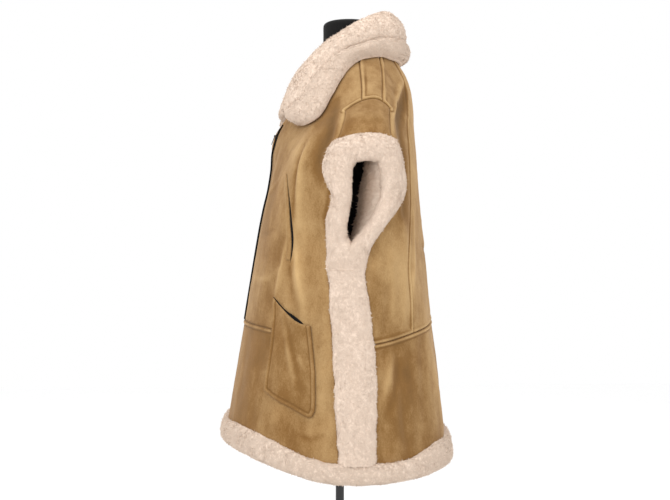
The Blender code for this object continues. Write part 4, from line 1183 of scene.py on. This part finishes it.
# ---- pockets, welts, zip -------------------------------------------------------------------------
# outline of the patch pocket as angles and levels: mouth and bottom run back, the two sides run down
POCKET = {
    "mouth": ((41.5, 0.628), (44.5, 0.636), (48.0, 0.647), (52.0, 0.658), (56.0, 0.667), (59.0, 0.671),
              (62.0, 0.672), (65.0, 0.672)),
    "bottom": ((43.0, 0.858), (47.0, 0.867), (52.0, 0.874), (60.5, 0.885), (65.0, 0.892), (67.5, 0.894),
               (69.2, 0.890)),
    "front": ((41.5, 0.628), (42.6, 0.670), (43.0, 0.717), (43.0, 0.773), (42.6, 0.820), (43.0, 0.858)),
    "rear": ((65.0, 0.672), (66.2, 0.695), (67.3, 0.725), (69.0, 0.775), (69.8, 0.815), (70.3, 0.850),
             (70.4, 0.874), (69.2, 0.890)),
}
MOUTH_SHADOW_RISE = 0.0062     # height in level that the black strip of painted shadow shows above the pocket's mouth
TUCKED = 0.012          # and how far the strip goes on behind the pocket's hide
POCKET_LIFT = 0.0040    # how far the pocket's hide lies off the side front
POCKET_HEM = 0.0016     # how much higher its turned-under edge stands
POCKET_STITCH = 0.0092  # distance of the stitching from the pocket's edge
DEGREE_PLAN = 4.7       # millimetres of one degree at the pocket, for the run along its outline
LEVEL_DOWN = 760.0      # and of one level


def wall(name, outer, inner, values, look, replaced=()):
    """Closed wall between two grids of points [u, v]: outer skin, inner skin and the four rims."""
    rows, columns = outer.shape[:2]
    number = np.arange(rows * columns).reshape(rows, columns)
    quads = np.stack([number[:-1, :-1], number[:-1, 1:], number[1:, 1:], number[1:, :-1]],
                     axis=-1).reshape(-1, 4)
    rim = np.concatenate([number[0, :], number[1:, -1], number[-1, -2::-1], number[-2:0:-1, 0]])
    after, count = np.roll(rim, -1), rows * columns
    walls = np.stack([after, rim, rim + count, after + count], axis=1)
    faces = np.concatenate([quads, quads[:, ::-1] + count, walls])
    points = np.concatenate([outer.reshape(-1, 3), inner.reshape(-1, 3)])
    a, b, c = points[quads[:, 0]], points[quads[:, 1]], points[quads[:, 3]]
    if (np.cross(b - a, c - a) * (points[quads[:, 0]] - points[quads[:, 0] + count])).sum() < 0:
        faces = faces[:, ::-1]
    piece = new_mesh(name, points, faces, values={key: np.concatenate([v.ravel(), v.ravel()])
                                                  for key, v in values.items()})
    return finish_piece(piece, look, replaced)


def cut_sheet(points):
    """Takes the steps across and down a wall's outer grid, and does nothing more with them."""
    over, down = points[1:, :-1] - points[:-1, :-1], points[:-1, 1:] - points[:-1, :-1]


def build_patch_pockets(look, tone):
    """Patch pockets: hide on the side front with a raised stitched rim, round corners and a sagging mouth,
    with painted highlights and painted shade along the rim and the fold.
    """
    u, v = np.meshgrid(np.concatenate([[0.0], eased(46)]), np.concatenate([[0.0], eased(60)]), indexing="ij")
    side = {name: np.array(line) for name, line in POCKET.items()}

    def edge_at(name, share):
        """Angle and level at shares of the way along a side of the outline."""
        line = side[name]
        steps = np.hypot(np.diff(line[:, 0]) * DEGREE_PLAN, np.diff(line[:, 1]) * LEVEL_DOWN)
        run = np.concatenate([[0.0], np.cumsum(steps)])
        return np.stack([np.interp(share * run[-1], run, column) for column in line.T], axis=-1)

    corner = side["mouth"][0], side["mouth"][-1], side["bottom"][0], side["bottom"][-1]
    down, over = v[..., None], u[..., None]
    place = ((1 - down) * edge_at("mouth", u) + down * edge_at("bottom", u)
             + (1 - over) * edge_at("front", v) + over * edge_at("rear", v)
             - (1 - down) * ((1 - over) * corner[0] + over * corner[1])
             - down * ((1 - over) * corner[2] + over * corner[3]))
    angle, level = place[..., 0], place[..., 1]
    base, normal = bell_point(angle, level), bell_normal(angle, level)
    seam = bell_point(ANGLES[COLUMN["side_front"]], LEVELS[COLUMN["side_front"]])
    flat = base.reshape(-1, 3)
    under, shade = suede_relief(angle.ravel(), level.ravel(), flat)
    under = (under * smooth(0.0, RELIEF_FADES, nearest(flat, seam))).reshape(u.shape)
    edge = np.concatenate([base[0, 2:], base[-1], base[:, -1]])
    from_rim, from_mouth = nearest(flat, edge).reshape(u.shape), nearest(flat, base[:, 0]).reshape(u.shape)
    lift = POCKET_LIFT + POCKET_HEM * (1 - smooth(0.0070, 0.0086, from_rim))
    lift -= 0.0010 * np.exp(-((from_rim - POCKET_STITCH) / 0.0010) ** 2)
    lift += 0.0050 * np.exp(-(from_mouth / 0.020) ** 2) * np.exp(-((u - 0.58) / 0.30) ** 2)
    fold = np.exp(-((u - 0.30 - 0.42 * v) / 0.055) ** 2) * np.exp(-((v - 0.42) / 0.28) ** 2)
    lift += 0.0038 * fold
    lift -= 0.0020 * (1 - smooth(0.0, 0.003, np.minimum(from_rim, from_mouth)))
    # painted highlight on the raised rim, painted shade in the stitching's groove and along the rim's edge,
    # paler along the mouth's edge, and the relief's rub under it
    rub = (0.8 * np.exp(-((from_rim - 0.0058) / 0.0020) ** 2) + 1.2 * np.exp(-(from_mouth / 0.004) ** 2)
           - 2.8 * np.exp(-((from_rim - POCKET_STITCH) / 0.0012) ** 2)
           - 3.0 * (1 - smooth(0.0, RIM_DARK, from_rim))
           + under / 0.004)
    # painted highlight along the pocket's fold and painted shade in the hollow beside it
    hollow = np.exp(-((u - 0.42 - 0.42 * v) / 0.06) ** 2) * np.exp(-((v - 0.42) / 0.3) ** 2)
    shade = shade.reshape(u.shape) + 0.16 * fold - 0.14 * hollow
    values = {"tone": tone + shade, "rub": rub, "inside": np.zeros(u.shape)}
    for side, tag in SIDES:
        flip = np.array([side, 1.0, 1.0])
        outer = (base + normal * (under + lift)[..., None]) * flip
        inner = (base + normal * (under + 0.0009)[..., None]) * flip
        piece = wall("patch_pocket_suede_" + tag, outer, inner, values, look,
                     ("patch_pocket_" + tag,))
        cut_sheet(outer)


def build_mouth_shadows(look):
    """Black strip at the pocket's mouth, from just above its edge to behind the hide: painted shadow of the
    gaping mouth, seen as a crescent.
    """
    share = np.linspace(0.0, 1.0, 50)
    angles, levels = np.array(POCKET["mouth"]).T
    knots = np.linspace(0.0, 1.0, len(angles))
    angle, level = np.interp(share * 0.80, knots, angles), np.interp(share * 0.80, knots, levels)
    gape = MOUTH_SHADOW_RISE * np.exp(-((share - 0.72) / 0.26) ** 2) * smooth(0.0, 0.06, 1 - share) + 0.0008
    v = np.linspace(0.0, 1.0, 8)[:, None]
    level = level[None] - gape[None] * (1 - v) + TUCKED * v
    angle = np.broadcast_to(angle, level.shape)
    for side, tag in SIDES:
        flip = np.array([side, 1.0, 1.0])
        outer = bell(angle, level, 0.0026) * flip
        piece = wall("pocket_bag_" + tag, outer, bell(angle, level, 0.0008) * flip, {}, look)
        cut_sheet(outer)


def build_slit_welts(look, tone):
    """Welt along the front edge of each slit pocket: a rounded fold of hide beside the gap."""
    level = np.linspace(SLIT[0] + 0.01, SLIT[1] - 0.008, 60)
    line = read(SEAMS, SEAM_COLUMNS, "princess", level)
    u = np.linspace(0.0, 1.0, 14)[:, None]
    angle = (line - slit_turn(level))[None] - 0.1 - 2.6 * (1 - u)
    ends = smooth(0.0, 0.06, np.linspace(0, 1, 60)) * smooth(0.0, 0.06, 1 - np.linspace(0, 1, 60))
    lift = 0.0010 + 0.0010 * np.sqrt(np.clip(1 - (2 * u - 1) ** 2, 0, 1)) * (0.4 + 0.6 * ends[None])
    spread = np.broadcast_to(level[None], angle.shape)
    values = {"tone": np.full(angle.shape, tone), "rub": np.zeros(angle.shape),
              "inside": np.zeros(angle.shape)}
    for side, tag in SIDES:
        flip = np.array([side, 1.0, 1.0])
        outer = bell(angle, spread, lift) * flip
        inner = bell(angle, spread, 0.0006) * flip
        piece = wall("slit_welt_suede_" + tag, outer, inner, values, look, ("slit_welt_" + tag,))
        cut_sheet(outer)


BAG_BEHIND = 0.0024     # how far the bag goes on behind the hide on both sides of the slit


def build_slit_shadow_bags(look):
    """Pocket bag behind each slit in black cloth, its black the painted shade seen through the gap."""
    level = np.linspace(SLIT[0] + 0.01, SLIT[1] - 0.002, 60)
    line = read(SEAMS, SEAM_COLUMNS, "princess", level)
    across = unit(bell_point(line + 0.5, level) - bell_point(line - 0.5, level))
    half = (slit_width(level) + BAG_BEHIND)[None, :, None]
    spread = np.linspace(-1.0, 1.0, 8)[:, None, None] * half * across[None]
    for side, tag in SIDES:
        flip = np.array([side, 1.0, 1.0])
        outer = (bell(line, level, -0.0007)[None] + spread) * flip
        inner = (bell(line, level, -0.0030)[None] + spread) * flip
        piece = wall("slit_bag_" + tag, outer, inner, {}, look)
        cut_sheet(outer)


TOOTH_STEP = 0.0026
TOOTH_HALF = (0.0021, 0.0009)      # half width across the zip and half length along it
TOOTH_HIGH = 0.0030
TOOTH_SIDE = 0.0014     # how far a tooth's middle lies from the zip's
TAPE_HALF = 0.0042
TAPE_THICK = 0.0030
# levels, and height of the teeth's tops
TEETH_HIGH = (0.13, 0.16, 0.45, 0.69), (0.0050, 0.0058, 0.0058, 0.0032)


def build_teeth(look):
    """Tape and teeth of the zip: blocks set in turn left and right of the middle, each reaching over it."""
    level = np.linspace(0.06, 0.697, 900)
    path = bell_point(np.zeros(900), level)
    run = np.concatenate([[0.0], np.cumsum(np.linalg.norm(np.diff(path, axis=0), axis=1))])
    at = np.interp(np.arange(0.0, run[-1], TOOTH_STEP / 2), run, level)
    middle, out = bell_point(np.zeros(len(at)), at), bell_normal(np.zeros(len(at)), at)
    down = unit(np.gradient(middle, axis=0))
    side = np.cross(down, out)
    hand = np.where(np.arange(len(at)) % 2, 1.0, -1.0)
    top = np.interp(at, *TEETH_HIGH)
    corners = []
    for high in (0, 1):
        for w, a in ((-1, -1), (1, -1), (1, 1), (-1, 1)):
            lift = top - TOOTH_HIGH * (1 - high)
            over = hand * TOOTH_SIDE + w * TOOTH_HALF[0] * (1 - 0.15 * high)
            corners.append(middle + side * over[:, None] + down * (a * TOOTH_HALF[1] * (1 - 0.2 * high))
                           + out * lift[:, None])
    points = np.stack(corners, axis=1).reshape(-1, 3)
    faces = np.array([(0, 3, 2, 1), (4, 5, 6, 7), (0, 1, 5, 4), (1, 2, 6, 5), (2, 3, 7, 6), (3, 0, 4, 7)])
    quads = (faces[None] + (np.arange(len(at)) * 8)[:, None, None]).reshape(-1, 4)
    facing = np.cross(points[quads[:, 1]] - points[quads[:, 0]], points[quads[:, 3]] - points[quads[:, 0]])
    middles = np.repeat(points.reshape(-1, 8, 3).mean(axis=1), 6, axis=0)
    inside_out = (facing * (points[quads].mean(axis=1) - middles)).sum() < 0
    piece = new_mesh("zip_teeth", points, quads[:, ::-1] if inside_out else quads)
    finish_piece(piece, look)
    level = np.linspace(0.045, 0.699, 300)
    rise = np.interp(level, *TEETH_HIGH) - 0.0012
    line, under = bell(np.zeros(300), level, rise), bell(np.zeros(300), level, rise - TAPE_THICK)
    across = np.linspace(-1, 1, 5)[:, None, None] * np.array([TAPE_HALF, 0.0, 0.0])
    return wall("zip_tape", line[None] + across, under[None] + across, {}, look, ("zip_strip",))


def dress(names, look):
    """A carried-over CAD node keeps its shape and gets the finish."""
    for name in names:
        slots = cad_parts[name].material_slots
        for slot in slots:
            slot.material = look
        if not slots:
            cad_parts[name].data.materials.append(look)


# ---- dress form ----------------------------------------------------------------------------------
TORSO = (
    # side, front and back height, half width, front and back y
    (1.262, 1.170, 1.225, 0.180, -0.124, 0.136),
    (1.215, 1.140, 1.180, 0.166, -0.124, 0.132),
    (1.130, 1.090, 1.110, 0.150, -0.112, 0.118),
    (1.050, 1.030, 1.040, 0.132, -0.092, 0.102),
    (0.985, 0.985, 0.985, 0.128, -0.086, 0.100),
    (0.920, 0.920, 0.920, 0.142, -0.094, 0.112),
    (0.860, 0.860, 0.860, 0.158, -0.102, 0.124),
    (0.815, 0.815, 0.815, 0.162, -0.103, 0.124),
    (0.800, 0.800, 0.800, 0.154, -0.096, 0.116),
)
YOKE = ((0.0, 0.0100), (0.035, 0.0007), (0.07, 0.0007), (0.11, 0.0007), (0.15, 0.0007))


def solid_rings(name, rings, look, replaced):
    """Closed body through rings of equal length, its two ends closed by poles."""
    count, size = rings.shape[:2]
    row, column = np.arange(count - 1)[:, None] * size, np.arange(size)[None]
    quads = np.stack([row + column, row + (column + 1) % size, row + size + (column + 1) % size,
                      row + size + column],
                     axis=-1).reshape(-1, 4)
    points = np.concatenate([rings.reshape(-1, 3), rings[[0, -1]].mean(axis=1)])
    k = np.arange(size)
    first = np.stack([np.full(size, len(points) - 2), (k + 1) % size, k], axis=1)
    last = np.stack([np.full(size, len(points) - 1), (count - 1) * size + k,
                     (count - 1) * size + (k + 1) % size], axis=1)
    triangles = np.concatenate([first, last])
    a, b, c = (points[quads[:, n]] for n in (0, 1, 2))
    if (np.cross(b - a, c - a) * (a - points[:-2].mean(axis=0))).sum() < 0:
        quads, triangles = quads[:, ::-1], triangles[:, ::-1]
    return finish_piece(new_mesh(name, points, quads, triangles), look, replaced)


def along_rings(rings, cells):
    """Smooth curve along the rings: open Catmull-Rom through each point's row, ends held."""
    padded = np.concatenate([rings[:1], rings, rings[-1:]])
    t = (np.arange(cells) / cells)[None, :, None, None]
    before, here, after, beyond = (padded[k:len(padded) - 3 + k][:, None] for k in range(4))
    curve = 0.5 * (2 * here + (after - before) * t + (2 * before - 5 * here + 4 * after - beyond) * t ** 2
                   + (3 * here - before - 3 * after + beyond) * t ** 3)
    return np.concatenate([curve.reshape((-1,) + rings.shape[1:]), rings[-1:]])


# radius and height of the rings of the cap, the pole and the base
CAP_RINGS = ((0.050, 1.4403), (0.056, 1.4403), (0.0572, 1.4445), (0.0572, 1.466), (0.0572, 1.481),
             (0.055, 1.4870), (0.050, 1.4905), (0.042, 1.4925), (0.024, 1.493), (0.004, 1.493))
POLE_RINGS = ((0.0085, 0.0123), (0.0095, 0.0130), (0.0095, 0.40), (0.0095, 0.785), (0.0095, 0.799),
              (0.0085, 0.7997))
BASE_RINGS = ((0.170, 0.0), (0.1735, 0.0004), (0.175, 0.0020), (0.175, 0.0090), (0.1742, 0.0106),
              (0.1720, 0.0117), (0.168, 0.012), (0.08, 0.012), (0.004, 0.012))


def build_form(jersey, metal):
    """Dress form: torso inside the coat, neck with its cap, pole and round base."""
    size = 120
    angle = np.arange(size) * 360.0 / size
    turn = np.radians(angle)
    half = np.where(angle > 180.0, 360.0 - angle, angle)
    flip = np.stack([np.where(angle > 180.0, -1.0, 1.0), np.ones(size), np.ones(size)], axis=1)

    def neck(radius, height, tilt=0.0):
        """Circle round the neck's middle, tilted by a rise for each metre back."""
        y = NECK_CENTRE_Y - radius * np.cos(turn)
        return np.stack([radius * np.sin(turn), y, height + tilt * (y - NECK_CENTRE_Y)], axis=1)

    ease = 0.012 * (1 - np.abs(np.sin(turn)) ** 1.5)
    rings = [neck(0.056, 1.440), neck(0.058, 1.415, 0.25)]
    rings += [bell(half, level, -HIDE - depth - ease) * flip for level, depth in YOKE]
    for side_z, front_z, back_z, half_x, front_y, back_y in TORSO:
        ahead = np.cos(turn) > 0
        end_y, end_z = np.where(ahead, front_y, back_y), np.where(ahead, front_z, back_z)
        rings.append(np.stack([half_x * np.sin(turn), 0.012 + (end_y - 0.012) * np.abs(np.cos(turn)),
                               end_z + (side_z - end_z) * np.sin(turn) ** 2], axis=1))
    solid_rings("form_torso_jersey", along_rings(np.stack(rings), 6), jersey, ("form_torso",))
    cap = np.stack([neck(radius, height) for radius, height in CAP_RINGS])
    solid_rings("form_neck_cap_jersey", along_rings(cap, 3), jersey, ("form_neck_cap",))

    def turned(radius, height):
        """Circle round the form's axis."""
        return np.stack([radius * np.sin(turn), -radius * np.cos(turn), np.full(size, height)], axis=1)

    pole = np.stack([turned(radius, height) for radius, height in POLE_RINGS])
    solid_rings("form_pole_metal", pole, metal, ("form_pole",))
    base = np.stack([turned(radius, height) for radius, height in BASE_RINGS])
    solid_rings("form_base_metal", base, metal, ("form_base",))


# ---- studio --------------------------------------------------------------------------------------
VIEW_AZIMUTH = 85.0
VIEW_CENTRE = (0.0, -0.011, 0.98)
VIEW_DISTANCE = 2.75
VIEW_PITCH = 0.00225        # metres at the object's middle for each of the picture's columns
PICTURE_COLUMNS = 670.0
SENSOR_WIDE = 36.0          # millimetres


def sweep_finish(shade):
    """Paper of the studio's floor: a faint fibre."""
    look = Finish("Studio paper")
    fibre = look.speckle(60.0, 2.0, 0.5)
    return look.surface(Base_Color=look.mix(fibre, tuple(c * 0.99 for c in shade), shade), Roughness=0.9,
                        Specular_IOR_Level=0.1)


def build_stage(shade, light_power):
    """Floor of pale paper under a white sky, soft lights round the coat, and the camera of the photograph."""
    world = bpy.data.worlds.new("Studio")
    world.use_nodes = True
    world.node_tree.nodes["Background"].inputs["Color"].default_value = (1.0, 1.0, 1.0, 1.0)
    world.node_tree.nodes["Background"].inputs["Strength"].default_value = 1.0
    bpy.context.scene.world = world
    reach, cells = 6.0, 12
    x, y = np.meshgrid(np.linspace(-reach, reach, cells + 1), np.linspace(-reach, reach, cells + 1),
                       indexing="ij")
    points = np.stack([x, y, np.full_like(x, CAD_BOX[0][2] - 0.0005)], axis=-1).reshape(-1, 3)
    a = (np.arange(cells)[:, None] * (cells + 1) + np.arange(cells)[None, :]).ravel()
    floor = new_mesh("floor", points, np.stack([a, a + cells + 1, a + cells + 2, a + 1], axis=1))
    floor.data.materials.append(sweep_finish(shade))
    turn = math.radians(VIEW_AZIMUTH)
    look = Vector((-math.sin(turn), math.cos(turn), 0.0))
    side = Vector((math.cos(turn), math.sin(turn), 0.0))
    centre = Vector(VIEW_CENTRE)
    for name, place, size, power in (
            ("key", centre - look * 2.2 - side * 1.6 + Vector((0, 0, 1.5)), 2.0, 1.0),
            ("fill", centre - look * 2.0 + side * 2.2 + Vector((0, 0, 0.5)), 2.4, 0.45),
            ("top", centre + Vector((0, 0, 2.2)) - look * 0.4, 2.0, 0.5)):
        lamp = bpy.data.lights.new(name, "AREA")
        lamp.size = size
        lamp.energy = light_power * power
        made = bpy.data.objects.new(name, lamp)
        made.location = place
        made.rotation_euler = (centre - place).to_track_quat("-Z", "Y").to_euler()
        bpy.context.scene.collection.objects.link(made)
    camera = bpy.data.objects.new("camera", bpy.data.cameras.new("camera"))
    camera.data.sensor_width = SENSOR_WIDE
    camera.data.lens = SENSOR_WIDE * VIEW_DISTANCE / VIEW_PITCH / PICTURE_COLUMNS
    camera.location = centre - look * VIEW_DISTANCE
    camera.rotation_euler = look.to_track_quat("-Z", "Y").to_euler()
    bpy.context.scene.collection.objects.link(camera)
    bpy.context.scene.camera = camera
    bpy.context.scene.view_settings.view_transform = "Standard"


# ---- add-on --------------------------------------------------------------------------------------
# panel node, cells as line and stretch names, tone, seams that are lapped and stitched
PANELS = (
    ("front_centre_upper", (("front", "side_front", "neck", "skirt"),), 0.40, ()),
    ("front_centre_lower", (("zip", "side_front", "skirt", "end"),), 0.34, ("skirt",)),
    ("side_front", (("side_front", "arm_front", "neck", "end"), ("arm_front", "strap", "neck", "sleeve")),
     0.54, ("sleeve",)),
    ("shoulder_strap", (("strap", "arm_back", "neck", "sleeve"),), 0.48, ("strap", "sleeve")),
    ("cap_sleeve", (("arm_front", "side_back", "sleeve", "armhole"),), 0.37, ()),
    ("back_side", (("side_back", "back", "neck", "skirt"), ("arm_back", "side_back", "neck", "sleeve")),
     0.50, ("back", "arm_back", "sleeve", "skirt")),
    ("back_centre", (("back", "end", "neck", "skirt"),), 0.56, ("skirt",)),
    ("back_lower", (("side_back", "end", "skirt", "end"),), 0.44, ("skirt",)),
)


# the deep shade also colours the painted shade in creases and hollows, the rubbed shade the painted
# highlights on ridges
class CoatSuede(bpy.types.PropertyGroup):
    light: FloatVectorProperty(name="Rubbed shade", description="Colour of the nap where it is rubbed pale",
                               default=linear((192, 160, 113)), subtype="COLOR")
    dark: FloatVectorProperty(name="Deep shade", description="Colour of the nap in creases",
                              default=linear((120, 86, 44)), subtype="COLOR")


class CoatWool(bpy.types.PropertyGroup):
    light: FloatVectorProperty(name="Tips", description="Colour of the wool's tips",
                               default=linear((228, 208, 191)),
                               subtype="COLOR")
    dark: FloatVectorProperty(name="Body", description="Colour of the wool below its tips",
                              default=linear((203, 184, 167)), subtype="COLOR")
    root: FloatVectorProperty(name="Roots", description="Colour deep in the wool",
                              default=linear((198, 172, 150)),
                              subtype="COLOR")
    long: FloatProperty(name="Lock length", description="Length of a lock of wool", default=0.0045,
                        unit="LENGTH")


class CoatStudio(bpy.types.PropertyGroup):
    paper: FloatVectorProperty(name="Floor", description="Colour of the studio floor",
                               default=(0.98, 0.98, 0.98),
                               subtype="COLOR")
    power: FloatProperty(name="Light power", description="Power of the key light in watts", default=36.0)


class COAT_OT_panels(bpy.types.Operator):
    """Suede panels over the model's own seams"""
    bl_idname = "coat.panels"
    bl_label = "Suede panels"

    def execute(self, context):
        choice = context.scene.coat_suede
        look = suede_finish(tuple(choice.light), tuple(choice.dark))
        for side, tag in SIDES:
            for name, blocks, tone, stitched in PANELS:
                mask = np.any([block(*cells) for cells in blocks], axis=0)
                suede_panel(name + "_" + tag, side, mask, tone, look, stitched,
                            slit=name in ("front_centre_upper", "side_front"))
        return {"FINISHED"}


class COAT_OT_wool(bpy.types.Operator):
    """Collar, cuffs, side bands and hem of shearling wool with their locks"""
    bl_idname = "coat.wool"
    bl_label = "Wool"

    def execute(self, context):
        choice = context.scene.coat_wool
        colours = tuple(choice.light), tuple(choice.dark), tuple(choice.root)
        look, lock_look = wool_finish("Wool", *colours), wool_finish("Wool locks", *colours)
        build_collar(look, lock_look, choice.long)
        build_hem(look, lock_look, choice.long)
        build_bands(look, lock_look, choice.long)
        build_cuffs(look, lock_look, choice.long)
        return {"FINISHED"}


class COAT_OT_pockets(bpy.types.Operator):
    """Patch pockets, the welts of the slit pockets, and black cloth behind the slits and at the mouths,
    painted shade in those openings
    """
    bl_idname = "coat.pockets"
    bl_label = "Pockets"

    def execute(self, context):
        choice = context.scene.coat_suede
        look = suede_finish(tuple(choice.light), tuple(choice.dark))
        build_patch_pockets(look, 0.40)
        build_slit_welts(look, 0.48)
        cloth = tape_finish()
        build_slit_shadow_bags(cloth)
        build_mouth_shadows(cloth)
        return {"FINISHED"}


class COAT_OT_zip(bpy.types.Operator):
    """Zip tape, slider and pull tab"""
    bl_idname = "coat.zip"
    bl_label = "Zip"

    def execute(self, context):
        tape = tape_finish()
        build_teeth(tape)
        dress(("zip_slider", "zip_ear_L", "zip_ear_R", "zip_tab"),
              painted_finish("Zip metal", (0.02, 0.02, 0.02), 0.35, 0.8))
        return {"FINISHED"}


class COAT_OT_form(bpy.types.Operator):
    """Dress form with its pole and base"""
    bl_idname = "coat.form"
    bl_label = "Dress form"

    def execute(self, context):
        build_form(jersey_finish(), painted_finish("Black lacquer", (0.02, 0.02, 0.021), 0.34, 0.3))
        return {"FINISHED"}


class COAT_OT_studio(bpy.types.Operator):
    """Floor, lights and the camera of the photograph"""
    bl_idname = "coat.studio"
    bl_label = "Studio"

    def execute(self, context):
        choice = context.scene.coat_studio
        build_stage(tuple(choice.paper), choice.power)
        return {"FINISHED"}


class COAT_PT_side(bpy.types.Panel):
    bl_label = "Shearling coat"
    bl_space_type = "VIEW_3D"
    bl_region_type = "UI"
    bl_category = "Coat"

    def draw(self, context):
        layout, scene = self.layout, context.scene
        for group, names in ((scene.coat_suede, ("light", "dark")),
                             (scene.coat_wool, ("light", "dark", "root", "long")),
                             (scene.coat_studio, ("paper", "power"))):
            for name in names:
                layout.prop(group, name)
        for operator in OPERATORS:
            layout.operator(operator.bl_idname)


OPERATORS = (COAT_OT_panels, COAT_OT_pockets, COAT_OT_wool, COAT_OT_zip, COAT_OT_form, COAT_OT_studio)
CLASSES = (CoatSuede, CoatWool, CoatStudio) + OPERATORS + (COAT_PT_side,)


def register():
    """Adds the operators, the panel and the settings to Blender."""
    for made in CLASSES:
        bpy.utils.register_class(made)
    bpy.types.Scene.coat_suede = PointerProperty(type=CoatSuede)
    bpy.types.Scene.coat_wool = PointerProperty(type=CoatWool)
    bpy.types.Scene.coat_studio = PointerProperty(type=CoatStudio)


def unregister():
    """Takes them out again."""
    del bpy.types.Scene.coat_studio, bpy.types.Scene.coat_wool, bpy.types.Scene.coat_suede
    for made in reversed(CLASSES):
        bpy.utils.unregister_class(made)


def main():
    """Builds every group of pieces."""
    register()
    for operator in (bpy.ops.coat.panels, bpy.ops.coat.pockets, bpy.ops.coat.wool, bpy.ops.coat.zip,
                     bpy.ops.coat.form, bpy.ops.coat.studio):
        operator()


if __name__ == "__main__":
    main()
